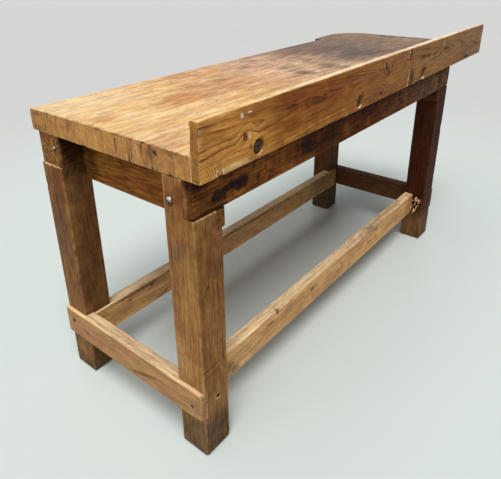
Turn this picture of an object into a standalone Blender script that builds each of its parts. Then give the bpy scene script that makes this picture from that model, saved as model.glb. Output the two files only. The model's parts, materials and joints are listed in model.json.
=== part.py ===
"""Carpenter's workbench of squared softwood, with a tall fence along its front.

Four square posts carry a thick top of glued staves. A front apron is let into the front
posts, a square rail rides on the back posts, and a board lapped into the posts closes
each end. Low stretchers are housed into the posts all round. The fence is bolted to the
front edge of the top, and runs on past its far end.

The bench is laid out from its near front leg: X along the bench, Y from the front to
the back, Z up from the floor. All sizes are in metres.
"""

import math

import bmesh
import bpy
from mathutils import Vector

# Fit: space between two pieces that touch, and how far a cut runs past an open face
GAP = 0.0003
RUN_OUT = 0.008

# Frame, measured over the outside of the legs
FRAME_LENGTH = 1.510
FRAME_DEPTH = 0.572
WORKTOP_HEIGHT = 0.842

# Legs
LEG_SIZE = 0.089
LEG_WEAR = 0.003
FOOT_CHAMFER = 0.006
TENON_SIZE = 0.035
TENON_HEIGHT = 0.038

# Top of glued staves, with a rounded ear standing out behind its far end
TOP_THICKNESS = 0.0575
STAVE_COUNT = 6
TOP_BACK_OVERHANG = 0.015
TOP_FAR_OVERHANG = 0.247
EAR_LENGTH = 0.307
EAR_REACH = 0.048
EAR_BACK_RADIUS = 0.600
CORNER_STEPS = 14
EAR_BACK_STEPS = 6

# Split in the near end of the top, and the chip off its back corner
SPLIT_HEIGHT = 0.0245
SPLIT_WIDTH = 0.010
SPLIT_LENGTH = 0.070
SPLIT_INSET = 0.006
CHIP_SIZE = 0.014

# Fence along the front edge of the top
FENCE_THICKNESS = 0.024
FENCE_UPSTAND = 0.073
FENCE_FAR_OVERHANG = 0.300
FENCE_FAR_RISE = 0.008
FENCE_WEAR = 0.0025
FENCE_SCREW_COUNT = 3
FENCE_SCREW_FIRST = 0.190
FENCE_SCREW_SPACING = 0.475

# Rails under the top: apron in front, square rail at the back
RAIL_HEIGHT = 0.089
APRON_THICKNESS = 0.027
APRON_RECESS = 0.0025
APRON_FAR_OVERHANG = 0.007
BACK_RAIL_RECESS = 0.005
ARRIS_WEAR = 0.002

# End aprons, let through the front legs and lapped into the back legs and back rail
END_APRON_THICKNESS = 0.028
END_APRON_HEIGHT = 0.137
END_APRON_PROUD = 0.009
END_APRON_LAP = 0.044

# End stretchers, halved onto the end faces of the legs
STRETCHER_THICKNESS = 0.038
STRETCHER_HEIGHT = 0.088
END_STRETCHER_RISE = 0.131
END_STRETCHER_PROUD = 0.0105
END_STRETCHER_HOUSING = 0.012

# Long stretchers, housed in the inside faces of the legs
LONG_STRETCHER_RISE = 0.1255
FRONT_STRETCHER_PROUD = 0.0
BACK_STRETCHER_PROUD = 0.007

# Fence coach screws with round socket heads, sunk in counterbores on washers
COUNTERBORE_RADIUS = 0.0195
COUNTERBORE_DEPTH = 0.010
COACH_SCREW_RADIUS = 0.004
COACH_SCREW_BITE = 0.055
COACH_HEAD_RADIUS = 0.0125
COACH_HEAD_HEIGHT = 0.0045
COACH_HEAD_EASE = 0.0012
COACH_SOCKET_FLATS = 0.0065
COACH_SOCKET_DEPTH = 0.0032
COACH_WASHER_RADIUS = 0.017
COACH_WASHER_THICKNESS = 0.0018

# Bolts through the front legs and the end aprons
BOLT_RADIUS = 0.005
BOLT_DOME_RADIUS = 0.011
BOLT_DOME_HEIGHT = 0.0048
BOLT_INSET = 0.020
BOLT_DROP = 0.058
BOLT_TAIL = 0.004
BOLT_WASHER_RADIUS = 0.0125
BOLT_WASHER_THICKNESS = 0.002
NUT_FLATS = 0.017
NUT_HEIGHT = 0.008

# Round-headed screws through the back rail's ends and the end aprons
RAIL_SCREW_RADIUS = 0.004
RAIL_SCREW_LENGTH = 0.120
RAIL_SCREW_DOME_RADIUS = 0.0075
RAIL_SCREW_DOME_HEIGHT = 0.0035
RAIL_SCREW_INSET = 0.022
RAIL_SCREW_DROP = 0.039

# Countersunk screws in the stretchers
WOOD_SCREW_RADIUS = 0.0024
WOOD_SCREW_LENGTH = 0.058
WOOD_SCREW_HEAD_RADIUS = 0.0048
WOOD_SCREW_HEAD_DEPTH = 0.0028
END_SCREW_SINK = 0.005
LONG_SCREW_SINK = 0.001
FRONT_END_SCREW_INSET = 0.036
FRONT_END_SCREW_RISE = 0.035
BACK_END_SCREW_INSET = 0.034
BACK_END_SCREW_RISE = 0.052

# Dowels that locate the top and the front apron
DOWEL_RADIUS = 0.006
DOWEL_DEPTH = 0.028
TOP_DOWEL_INSET = 0.040
FRONT_DOWEL_SETBACK = 0.056
BACK_DOWEL_SETBACK = 0.028
APRON_PEG_RADIUS = 0.005
APRON_PEG_APRON_DEPTH = 0.014
APRON_PEG_LEG_DEPTH = 0.026

# Facets of round pieces, and the softening of small arrises
ROUND_STEPS = 20
DOME_STEPS = 4
EASE_STEPS = 2
HEX_SIDES = 6
MERGE_DISTANCE = 0.000003
CREASE_ANGLE = math.radians(35)
ROUND_PROFILE = 0.5

# Places worked out from the sizes above
UNDERSIDE = WORKTOP_HEIGHT - TOP_THICKNESS
RAIL_BOTTOM = UNDERSIDE - RAIL_HEIGHT
END_APRON_BOTTOM = UNDERSIDE - END_APRON_HEIGHT
TOP_DEPTH = FRAME_DEPTH + TOP_BACK_OVERHANG
TOP_LENGTH = FRAME_LENGTH + TOP_FAR_OVERHANG
STAVE_WIDTH = (TOP_DEPTH - (STAVE_COUNT - 1) * GAP) / STAVE_COUNT
FENCE_LENGTH = FRAME_LENGTH + FENCE_FAR_OVERHANG
FENCE_FRONT = -GAP - FENCE_THICKNESS
FENCE_SCREW_HEIGHT = WORKTOP_HEIGHT - TOP_THICKNESS / 2
BACK_LEG_FRONT = FRAME_DEPTH - LEG_SIZE
LEG_CENTRE = LEG_SIZE / 2
APRON_BACK = APRON_RECESS + APRON_THICKNESS
END_APRON_INSIDE = LEG_SIZE + END_APRON_PROUD
END_APRON_OUTSIDE = END_APRON_INSIDE - END_APRON_THICKNESS
END_STRETCHER_TOP = END_STRETCHER_RISE + STRETCHER_HEIGHT
LONG_STRETCHER_TOP = LONG_STRETCHER_RISE + STRETCHER_HEIGHT
LONG_STRETCHER_START = STRETCHER_THICKNESS - END_STRETCHER_PROUD

# The bench's reach in plan, which sets its middle
NEAR_REACH = -END_STRETCHER_PROUD
FAR_REACH = max(FENCE_LENGTH, TOP_LENGTH, FRAME_LENGTH + END_STRETCHER_PROUD)
BACK_REACH = TOP_DEPTH + EAR_REACH
MIDDLE = Vector(((NEAR_REACH + FAR_REACH) / 2, (FENCE_FRONT + BACK_REACH) / 2, 0.0))

# Turns that point a fastener, made along -Z from its head, the way it is driven
QUARTER = math.pi / 2
DRIVE_TURN = {
    "along": (0.0, -QUARTER, 0.0),
    "back_along": (0.0, QUARTER, 0.0),
    "inward": (QUARTER, 0.0, 0.0),
    "outward": (-QUARTER, 0.0, 0.0),
    "down": (0.0, 0.0, 0.0),
}


def clear_scene():
    """Start from an empty scene."""
    for old in list(bpy.data.objects):
        bpy.data.objects.remove(old, do_unlink=True)


def finish(name, colour, roughness, metallic=0.0):
    """A plain material: base colour, roughness and metallic value."""
    material = bpy.data.materials.new(name)
    material.use_nodes = True
    shader = material.node_tree.nodes["Principled BSDF"]
    shader.inputs["Base Color"].default_value = (*colour, 1.0)
    shader.inputs["Roughness"].default_value = roughness
    shader.inputs["Metallic"].default_value = metallic
    material.diffuse_color = (*colour, 1.0)
    return material


clear_scene()

BENCH = bpy.data.objects.new("bench_datum", None)
BENCH.location = -MIDDLE
bpy.context.scene.collection.objects.link(BENCH)

WORN_TOP = finish("worn_top_pine", (0.30, 0.16, 0.07), 0.55)
AGED_FENCE = finish("aged_fence_pine", (0.27, 0.14, 0.05), 0.50)
DARK_LEG = finish("dark_leg_pine", (0.16, 0.08, 0.04), 0.60)
DARK_RAIL = finish("dark_rail_pine", (0.12, 0.06, 0.03), 0.60)
PALE_STRETCHER = finish("pale_stretcher_pine", (0.42, 0.26, 0.12), 0.65)
BEECH_DOWEL = finish("beech_dowel", (0.45, 0.30, 0.17), 0.60)
DULL_STEEL = finish("dull_steel", (0.33, 0.32, 0.30), 0.45, 1.0)
RUSTED_STEEL = finish("rusted_steel", (0.07, 0.05, 0.04), 0.70, 0.8)


def mesh_from(name, shape):
    """Turn a finished bmesh into a mesh, with its faces pointing out."""
    bmesh.ops.recalc_face_normals(shape, faces=shape.faces)
    mesh = bpy.data.meshes.new(name)
    shape.to_mesh(mesh)
    shape.free()
    return mesh


def add_piece(name, mesh, material, place=(0.0, 0.0, 0.0), turn=(0.0, 0.0, 0.0)):
    """Put a mesh into the bench as a named piece."""
    piece = bpy.data.objects.new(name, mesh)
    mesh.materials.append(material)
    piece.parent = BENCH
    piece.location = place
    piece.rotation_euler = turn
    bpy.context.scene.collection.objects.link(piece)
    return piece


def add_hidden(name, mesh, place=(0.0, 0.0, 0.0), turn=(0.0, 0.0, 0.0)):
    """Put in a shape that only cuts or joins, and is no piece of the bench."""
    hidden = bpy.data.objects.new(name, mesh)
    hidden.parent = BENCH
    hidden.location = place
    hidden.rotation_euler = turn
    hidden.hide_render = True
    hidden.display_type = 'WIRE'
    bpy.context.scene.collection.objects.link(hidden)
    return hidden


def combine(piece, hidden, operation):
    """Cut a hidden shape out of a piece, or join it on."""
    step = piece.modifiers.new(hidden.name, 'BOOLEAN')
    step.operation = operation
    step.solver = 'EXACT'
    step.object = hidden


def ease(piece, width):
    """Round the arrises of a piece by hand wear."""
    wear = piece.modifiers.new("worn_arrises", 'BEVEL')
    wear.width = width
    wear.segments = EASE_STEPS
    wear.limit_method = 'ANGLE'


def block_mesh(name, corner, opposite):
    """A squared block between two opposite corners, about its own centre."""
    size = [abs(b - a) for a, b in zip(corner, opposite)]
    shape = bmesh.new()
    bmesh.ops.create_cube(shape, size=1.0)
    bmesh.ops.scale(shape, vec=size, verts=shape.verts)
    centre = (Vector(corner) + Vector(opposite)) / 2
    return mesh_from(name, shape), centre


def timber(name, corner, opposite, material, wear=ARRIS_WEAR):
    """A squared timber between two opposite corners, with worn arrises."""
    mesh, centre = block_mesh(name, corner, opposite)
    piece = add_piece(name, mesh, material, centre)
    ease(piece, wear)
    return piece


def housing(piece, label, corner, opposite):
    """Cut a square-cornered recess between two opposite corners."""
    name = f"{piece.name}_{label}"
    mesh, centre = block_mesh(name, corner, opposite)
    combine(piece, add_hidden(name, mesh, centre), 'DIFFERENCE')


def slab_mesh(name, outline, bottom, top, across):
    """A plate with a given outline, square through its thickness.

    across says which axis the thickness runs along: "z" for an outline in X and Y,
    "y" for an outline in X and Z.
    """
    shape = bmesh.new()
    if across == "z":
        ring = [shape.verts.new((u, v, bottom)) for u, v in outline]
        step = (0.0, 0.0, top - bottom)
    else:
        ring = [shape.verts.new((u, bottom, v)) for u, v in outline]
        step = (0.0, top - bottom, 0.0)
    face = shape.faces.new(ring)
    grown = bmesh.ops.extrude_face_region(shape, geom=[face])["geom"]
    raised = [item for item in grown if isinstance(item, bmesh.types.BMVert)]
    bmesh.ops.translate(shape, vec=step, verts=raised)
    return mesh_from(name, shape)


def arc(centre, radius, start, stop, steps):
    """Points along a round stretch of an outline, both ends included."""
    turns = [start + (stop - start) * i / steps for i in range(steps + 1)]
    return [(centre[0] + radius * math.cos(t), centre[1] + radius * math.sin(t)) for t in turns]


def pointed_cut(piece, label, base, tip):
    """Cut a three-sided splinter that narrows from its base to its tip."""
    name = f"{piece.name}_{label}"
    shape = bmesh.new()
    ring = [shape.verts.new(point) for point in base]
    end = shape.verts.new(tip)
    shape.faces.new(ring)
    for i, vertex in enumerate(ring):
        shape.faces.new((vertex, ring[i - 1], end))
    combine(piece, add_hidden(name, mesh_from(name, shape)), 'DIFFERENCE')


def turned_mesh(name, profile):
    """A round body spun about Z, from (radius, height) points that start and end on the axis."""
    shape = bmesh.new()
    points = [shape.verts.new((radius, 0.0, height)) for radius, height in profile]
    lines = [shape.edges.new(pair) for pair in zip(points, points[1:])]
    bmesh.ops.spin(
        shape, geom=points + lines, cent=(0.0, 0.0, 0.0), axis=(0.0, 0.0, 1.0),
        angle=2 * math.pi, steps=ROUND_STEPS, use_merge=True)
    bmesh.ops.remove_doubles(shape, verts=shape.verts, dist=MERGE_DISTANCE)
    mesh = mesh_from(name, shape)
    mesh.shade_smooth()
    mesh.set_sharp_from_angle(angle=CREASE_ANGLE)
    return mesh


def rod_profile(radius, top, bottom):
    """Profile of a plain round rod."""
    return [(0.0, top), (radius, top), (radius, bottom), (0.0, bottom)]


def dome_profile(dome_radius, dome_height, shank_radius, length):
    """Profile of a round-headed bolt, with the underside of its head at height 0."""
    turns = [QUARTER * i / DOME_STEPS for i in range(DOME_STEPS + 1)]
    dome = [(dome_radius * math.sin(t), dome_height * math.cos(t)) for t in turns]
    return dome + [(shank_radius, 0.0), (shank_radius, -length), (0.0, -length)]


def bore(pieces, label, profile, place, turn):
    """Cut one round hole through several pieces."""
    for piece in pieces:
        name = f"{piece.name}_{label}"
        combine(piece, add_hidden(name, turned_mesh(name, profile), place, turn), 'DIFFERENCE')


def hexagon_mesh(name, flats, bottom, top):
    """A six-sided prism about Z, measured across its flats."""
    corner = flats / 2 / math.cos(math.pi / HEX_SIDES)
    outline = arc((0.0, 0.0), corner, 0.0, 2 * math.pi, HEX_SIDES)[:-1]
    return slab_mesh(name, outline, bottom, top, "z")


def washer(name, outer, inner, thickness, place, turn, material):
    """A flat ring lying under a head or a nut, with its lower face at height 0."""
    piece = add_piece(
        name, turned_mesh(name, rod_profile(outer, thickness, 0.0)), material, place, turn)
    bore([piece], "hole", rod_profile(inner, thickness + RUN_OUT, -RUN_OUT), place, turn)


def end_name(far):
    """The word for an end of the bench."""
    return "far" if far else "near"


def from_end(distance, far):
    """X at a given distance in from the near or the far legs' end faces."""
    return FRAME_LENGTH - distance if far else distance


def drive_from_end(far):
    """The turn of a fastener driven into an end of the bench."""
    return DRIVE_TURN["back_along" if far else "along"]


def make_leg(far, back):
    """One leg: a post with a chamfered foot, housed for all that meets it."""
    name = f"{end_name(far)}_{'back' if back else 'front'}_leg"
    front = BACK_LEG_FRONT if back else 0.0
    height = RAIL_BOTTOM if back else UNDERSIDE
    shape = bmesh.new()
    bmesh.ops.create_cube(shape, size=1.0)
    bmesh.ops.scale(shape, vec=(LEG_SIZE, LEG_SIZE, height - GAP), verts=shape.verts)
    bmesh.ops.translate(shape, vec=(0.0, 0.0, (height - GAP) / 2), verts=shape.verts)
    foot = [e for e in shape.edges if max(v.co.z for v in e.verts) < GAP]
    bmesh.ops.bevel(
        shape, geom=foot, offset=FOOT_CHAMFER, segments=1, profile=ROUND_PROFILE, affect='EDGES')
    arrises = [e for e in shape.edges if abs(e.verts[0].co.z - e.verts[1].co.z) > GAP]
    bmesh.ops.bevel(
        shape, geom=arrises, offset=LEG_WEAR, segments=EASE_STEPS, profile=ROUND_PROFILE, affect='EDGES')
    place = (from_end(LEG_CENTRE, far), front + LEG_CENTRE, 0.0)
    return add_piece(name, mesh_from(name, shape), DARK_LEG, place)


def house_front_leg(leg, far):
    """Cut a front leg for the apron, the end apron and the two stretchers."""
    outside = from_end(-RUN_OUT, far)
    inside = from_end(LEG_SIZE + RUN_OUT, far)
    end_apron_face = from_end(END_APRON_OUTSIDE - GAP, far)
    above = UNDERSIDE + RUN_OUT
    housing(
        leg, "apron_housing",
        (outside, -RUN_OUT, RAIL_BOTTOM - GAP), (inside, APRON_BACK + GAP, above))
    housing(
        leg, "end_apron_lap",
        (end_apron_face, -RUN_OUT, END_APRON_BOTTOM - GAP), (inside, LEG_SIZE + RUN_OUT, above))
    house_end_stretcher(leg, far, 0.0)
    stretcher_front = LEG_SIZE + FRONT_STRETCHER_PROUD - STRETCHER_THICKNESS
    housing(
        leg, "long_stretcher_housing",
        (from_end(LONG_STRETCHER_START, far), stretcher_front - GAP, LONG_STRETCHER_RISE - GAP),
        (inside, LEG_SIZE + RUN_OUT, LONG_STRETCHER_TOP + GAP))


def house_back_leg(leg, far):
    """Cut a back leg for the end apron and the two stretchers, and give it its tenon."""
    inside = from_end(LEG_SIZE + RUN_OUT, far)
    housing(
        leg, "end_apron_lap",
        (from_end(END_APRON_OUTSIDE - GAP, far), BACK_LEG_FRONT - RUN_OUT, END_APRON_BOTTOM - GAP),
        (inside, BACK_LEG_FRONT + END_APRON_LAP + GAP, RAIL_BOTTOM + RUN_OUT))
    house_end_stretcher(leg, far, BACK_LEG_FRONT)
    stretcher_back = BACK_LEG_FRONT - BACK_STRETCHER_PROUD + STRETCHER_THICKNESS
    housing(
        leg, "long_stretcher_housing",
        (from_end(LONG_STRETCHER_START, far), BACK_LEG_FRONT - RUN_OUT, LONG_STRETCHER_RISE - GAP),
        (inside, stretcher_back + GAP, LONG_STRETCHER_TOP + GAP))
    name = f"{leg.name}_tenon"
    mesh, centre = block_mesh(name, *tenon_corners(far, RAIL_BOTTOM - RUN_OUT, 0.0))
    combine(leg, add_hidden(name, mesh, centre), 'UNION')


def tenon_corners(far, bottom, clearance):
    """Opposite corners of a back leg's tenon, or of the mortise that takes it."""
    reach = TENON_SIZE / 2 + clearance
    middle = BACK_LEG_FRONT + LEG_CENTRE
    top = RAIL_BOTTOM + TENON_HEIGHT + clearance
    return (
        (from_end(LEG_CENTRE - reach, far), middle - reach, bottom),
        (from_end(LEG_CENTRE + reach, far), middle + reach, top))


def house_end_stretcher(leg, far, front):
    """Cut the shallow housing on a leg's end face that takes the stretcher's tongue."""
    housing(
        leg, "end_stretcher_housing",
        (from_end(-RUN_OUT, far), front - RUN_OUT, END_STRETCHER_RISE - GAP),
        (from_end(END_STRETCHER_HOUSING, far), front + LEG_SIZE + RUN_OUT, END_STRETCHER_TOP + GAP))


def make_top():
    """The glued staves, from the front one to the back one with its ear."""
    staves = []
    for i in range(STAVE_COUNT):
        name = f"top_stave_{i + 1}"
        front = i * (STAVE_WIDTH + GAP)
        back = front + STAVE_WIDTH
        if i < STAVE_COUNT - 1:
            outline = [(0.0, front), (TOP_LENGTH, front), (TOP_LENGTH, back), (0.0, back)]
        else:
            outline = ear_outline(front, back)
        mesh = slab_mesh(name, outline, UNDERSIDE, WORKTOP_HEIGHT, "z")
        staves.append(add_piece(name, mesh, WORN_TOP))
    split_stave(staves[1])
    chip_corner(staves[-1])
    return staves


def ear_outline(front, back):
    """Plan of the back stave: straight, a step out to the ear, and a round far corner."""
    corner = back - front + EAR_REACH
    turn_x = TOP_LENGTH - corner
    step_x = TOP_LENGTH - EAR_LENGTH
    swing = math.asin((turn_x - step_x) / EAR_BACK_RADIUS)
    ear_centre = (turn_x, back + EAR_REACH - EAR_BACK_RADIUS)
    far_corner = arc((turn_x, front), corner, 0.0, QUARTER, CORNER_STEPS)
    ear_back = arc(ear_centre, EAR_BACK_RADIUS, QUARTER, QUARTER + swing, EAR_BACK_STEPS)
    return [(0.0, front)] + far_corner + ear_back[1:] + [(step_x, back), (0.0, back)]


def split_stave(stave):
    """Open the drying split that runs into the near end of a stave from below."""
    middle = 2 * STAVE_WIDTH + GAP - SPLIT_INSET
    low = UNDERSIDE - RUN_OUT
    base = [
        (-RUN_OUT, middle - SPLIT_WIDTH / 2, low),
        (-RUN_OUT, middle + SPLIT_WIDTH / 2, low),
        (-RUN_OUT, middle, UNDERSIDE + SPLIT_HEIGHT),
    ]
    pointed_cut(stave, "split", base, (SPLIT_LENGTH, middle, low))


def chip_corner(stave):
    """Break the near lower corner off the back stave."""
    base = [
        (-CHIP_SIZE, TOP_DEPTH + CHIP_SIZE, UNDERSIDE - CHIP_SIZE),
        (2 * CHIP_SIZE, TOP_DEPTH + CHIP_SIZE, UNDERSIDE - CHIP_SIZE),
        (-CHIP_SIZE, TOP_DEPTH + CHIP_SIZE, UNDERSIDE + 2 * CHIP_SIZE),
    ]
    pointed_cut(stave, "chip", base, (-CHIP_SIZE, TOP_DEPTH - CHIP_SIZE, UNDERSIDE - CHIP_SIZE))


def make_fence():
    """The upstand board: level along its top, rising a little below at its far end."""
    crest = WORKTOP_HEIGHT + FENCE_UPSTAND
    outline = [
        (0.0, UNDERSIDE), (FENCE_LENGTH, UNDERSIDE + FENCE_FAR_RISE), (FENCE_LENGTH, crest), (0.0, crest)]
    mesh = slab_mesh("front_fence", outline, FENCE_FRONT, -GAP, "y")
    fence = add_piece("front_fence", mesh, AGED_FENCE)
    ease(fence, FENCE_WEAR)
    return fence


def coach_screw_profile(length):
    """Profile of a coach screw with a flat round head, its underside at height 0."""
    rim = COACH_HEAD_RADIUS - COACH_HEAD_EASE
    head = [
        (0.0, COACH_HEAD_HEIGHT), (rim, COACH_HEAD_HEIGHT),
        (COACH_HEAD_RADIUS, COACH_HEAD_HEIGHT - COACH_HEAD_EASE), (COACH_HEAD_RADIUS, 0.0)]
    return head + [(COACH_SCREW_RADIUS, 0.0), (COACH_SCREW_RADIUS, -length), (0.0, -length)]


def screw_fence(fence, stave):
    """Draw the fence to the top with coach screws on washers, sunk in counterbores."""
    floor = FENCE_FRONT + COUNTERBORE_DEPTH
    seat = -GAP
    under_head = seat - COACH_WASHER_THICKNESS - GAP
    length = FENCE_THICKNESS - COUNTERBORE_DEPTH + COACH_SCREW_BITE - under_head
    turn = DRIVE_TURN["inward"]
    for i in range(FENCE_SCREW_COUNT):
        place = Vector((FENCE_SCREW_FIRST + i * FENCE_SCREW_SPACING, floor, FENCE_SCREW_HEIGHT))
        sunk = rod_profile(COUNTERBORE_RADIUS, COUNTERBORE_DEPTH + RUN_OUT, 0.0)
        bore([fence], f"counterbore_{i + 1}", sunk, place, turn)
        shank_hole = rod_profile(COACH_SCREW_RADIUS + GAP, RUN_OUT, -under_head - length - GAP)
        bore([fence, stave], f"screw_hole_{i + 1}", shank_hole, place, turn)
        washer(
            f"fence_washer_{i + 1}", COACH_WASHER_RADIUS, COACH_SCREW_RADIUS + GAP,
            COACH_WASHER_THICKNESS, place + Vector((0.0, seat, 0.0)), turn, RUSTED_STEEL)
        name = f"fence_coach_screw_{i + 1}"
        head_place = place + Vector((0.0, under_head, 0.0))
        screw = add_piece(
            name, turned_mesh(name, coach_screw_profile(length)), RUSTED_STEEL, head_place, turn)
        socket = hexagon_mesh(
            f"{name}_socket", COACH_SOCKET_FLATS, COACH_HEAD_HEIGHT - COACH_SOCKET_DEPTH,
            COACH_HEAD_HEIGHT + RUN_OUT)
        combine(screw, add_hidden(f"{name}_socket", socket, head_place, turn), 'DIFFERENCE')


def make_front_apron():
    """The apron let into the front legs, running a little past the far one."""
    return timber(
        "front_apron",
        (0.0, APRON_RECESS, RAIL_BOTTOM),
        (FRAME_LENGTH + APRON_FAR_OVERHANG, APRON_BACK, UNDERSIDE - GAP), DARK_RAIL)


def make_back_rail():
    """The square rail on the back legs, mortised for them and grooved for the end aprons."""
    rail = timber(
        "back_rail",
        (BACK_RAIL_RECESS, BACK_LEG_FRONT, RAIL_BOTTOM),
        (FRAME_LENGTH - BACK_RAIL_RECESS, FRAME_DEPTH, UNDERSIDE - GAP), DARK_RAIL)
    low = RAIL_BOTTOM - RUN_OUT
    high = UNDERSIDE + RUN_OUT
    groove_back = BACK_LEG_FRONT + END_APRON_LAP + GAP
    for far in (False, True):
        end = end_name(far)
        housing(rail, f"{end}_mortise", *tenon_corners(far, low, GAP))
        housing(
            rail, f"{end}_groove",
            (from_end(END_APRON_OUTSIDE - GAP, far), BACK_LEG_FRONT - RUN_OUT, low),
            (from_end(END_APRON_INSIDE + GAP, far), groove_back, high))
    return rail


def make_end_apron(far):
    """The board under an end of the top, its end grain flush with the front of the front leg."""
    outside = from_end(END_APRON_OUTSIDE, far)
    inside = from_end(END_APRON_INSIDE, far)
    board = timber(
        f"{end_name(far)}_end_apron",
        (outside, 0.0, END_APRON_BOTTOM),
        (inside, BACK_LEG_FRONT + END_APRON_LAP, UNDERSIDE - GAP), DARK_RAIL)
    housing(
        board, "front_apron_notch",
        (from_end(END_APRON_OUTSIDE - RUN_OUT, far), -RUN_OUT, RAIL_BOTTOM - GAP),
        (from_end(END_APRON_INSIDE + RUN_OUT, far), APRON_BACK + GAP, UNDERSIDE + RUN_OUT))
    return board


def make_end_stretcher(far):
    """A low stretcher across an end, thinned to a tongue where it crosses each leg."""
    outer = from_end(-END_STRETCHER_PROUD, far)
    inner = from_end(LONG_STRETCHER_START, far)
    stretcher = timber(
        f"{end_name(far)}_end_stretcher",
        (outer, 0.0, END_STRETCHER_RISE), (inner, FRAME_DEPTH, END_STRETCHER_TOP), PALE_STRETCHER)
    tongue = from_end(END_STRETCHER_HOUSING - GAP, far)
    past = from_end(STRETCHER_THICKNESS + RUN_OUT, far)
    low = END_STRETCHER_RISE - RUN_OUT
    high = END_STRETCHER_TOP + RUN_OUT
    housing(stretcher, "front_shoulder", (tongue, -RUN_OUT, low), (past, LEG_SIZE + GAP, high))
    housing(
        stretcher, "back_shoulder",
        (tongue, BACK_LEG_FRONT - GAP, low), (past, FRAME_DEPTH + RUN_OUT, high))
    return stretcher


def make_long_stretcher(back):
    """A low stretcher along the bench, housed in the legs between the end stretchers."""
    if back:
        name = "back_long_stretcher"
        inside = BACK_LEG_FRONT - BACK_STRETCHER_PROUD
        outside = inside + STRETCHER_THICKNESS
    else:
        name = "front_long_stretcher"
        inside = LEG_SIZE + FRONT_STRETCHER_PROUD
        outside = inside - STRETCHER_THICKNESS
    return timber(
        name,
        (LONG_STRETCHER_START + GAP, outside, LONG_STRETCHER_RISE),
        (FRAME_LENGTH - LONG_STRETCHER_START - GAP, inside, LONG_STRETCHER_TOP), PALE_STRETCHER)


def wood_screw(name, pieces, sink, place, turn):
    """A countersunk screw, its head sunk below the face at the given place."""
    head_low = -sink - WOOD_SCREW_HEAD_DEPTH
    tip = -sink - WOOD_SCREW_LENGTH
    profile = [
        (0.0, -sink), (WOOD_SCREW_HEAD_RADIUS, -sink), (WOOD_SCREW_RADIUS, head_low),
        (WOOD_SCREW_RADIUS, tip), (0.0, tip - WOOD_SCREW_RADIUS)]
    hole = [
        (0.0, RUN_OUT), (WOOD_SCREW_HEAD_RADIUS + GAP, RUN_OUT), (WOOD_SCREW_HEAD_RADIUS + GAP, -sink - GAP),
        (WOOD_SCREW_RADIUS + GAP, head_low - GAP), (WOOD_SCREW_RADIUS + GAP, tip - GAP),
        (0.0, tip - WOOD_SCREW_RADIUS - 2 * GAP)]
    bore(pieces, f"{name}_hole", hole, place, turn)
    add_piece(name, turned_mesh(name, profile), DULL_STEEL, place, turn)


def screw_stretchers(far, legs, end_stretcher, long_stretchers):
    """Screw an end stretcher and the ends of the long stretchers to the two legs of an end."""
    end = end_name(far)
    outer = from_end(-END_STRETCHER_PROUD, far)
    turn = drive_from_end(far)
    wood_screw(
        f"{end}_front_end_stretcher_screw", [end_stretcher, legs[far, False]], END_SCREW_SINK,
        (outer, FRONT_END_SCREW_INSET, END_STRETCHER_RISE + FRONT_END_SCREW_RISE), turn)
    wood_screw(
        f"{end}_back_end_stretcher_screw", [end_stretcher, legs[far, True]], END_SCREW_SINK,
        (outer, FRAME_DEPTH - BACK_END_SCREW_INSET, END_STRETCHER_RISE + BACK_END_SCREW_RISE), turn)
    middle = from_end(LEG_CENTRE, far)
    height = LONG_STRETCHER_RISE + STRETCHER_HEIGHT / 4
    wood_screw(
        f"{end}_front_long_stretcher_screw", [long_stretchers[False], legs[far, False]], LONG_SCREW_SINK,
        (middle, LEG_SIZE + FRONT_STRETCHER_PROUD, height), DRIVE_TURN["outward"])
    wood_screw(
        f"{end}_back_long_stretcher_screw", [long_stretchers[True], legs[far, True]], LONG_SCREW_SINK,
        (middle, BACK_LEG_FRONT - BACK_STRETCHER_PROUD, height), DRIVE_TURN["inward"])


def bolt_end_apron(far, leg, end_apron):
    """Bolt an end apron to its front leg, with a washer and a nut on the inside."""
    end = end_name(far)
    turn = drive_from_end(far)
    into = -1.0 if far else 1.0
    length = END_APRON_INSIDE + 3 * GAP + BOLT_WASHER_THICKNESS + NUT_HEIGHT + BOLT_TAIL
    place = Vector((from_end(-GAP, far), LEG_SIZE - BOLT_INSET, UNDERSIDE - BOLT_DROP))
    hole = rod_profile(BOLT_RADIUS + GAP, RUN_OUT, -length)
    bore([leg, end_apron], "bolt_hole", hole, place, turn)
    name = f"{end}_apron_bolt"
    profile = dome_profile(BOLT_DOME_RADIUS, BOLT_DOME_HEIGHT, BOLT_RADIUS, length)
    add_piece(name, turned_mesh(name, profile), DULL_STEEL, place, turn)
    washer_seat = END_APRON_INSIDE + 2 * GAP + BOLT_WASHER_THICKNESS
    washer(
        f"{end}_apron_bolt_washer", BOLT_WASHER_RADIUS, BOLT_RADIUS + GAP, BOLT_WASHER_THICKNESS,
        place + Vector((into * washer_seat, 0.0, 0.0)), turn, DULL_STEEL)
    nut_seat = washer_seat + GAP
    nut_name = f"{end}_apron_bolt_nut"
    nut_place = place + Vector((into * nut_seat, 0.0, 0.0))
    nut_mesh = hexagon_mesh(nut_name, NUT_FLATS, -NUT_HEIGHT, 0.0)
    nut = add_piece(nut_name, nut_mesh, DULL_STEEL, nut_place, turn)
    bore([nut], "hole", rod_profile(BOLT_RADIUS + GAP, RUN_OUT, -NUT_HEIGHT - RUN_OUT), nut_place, turn)


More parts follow.
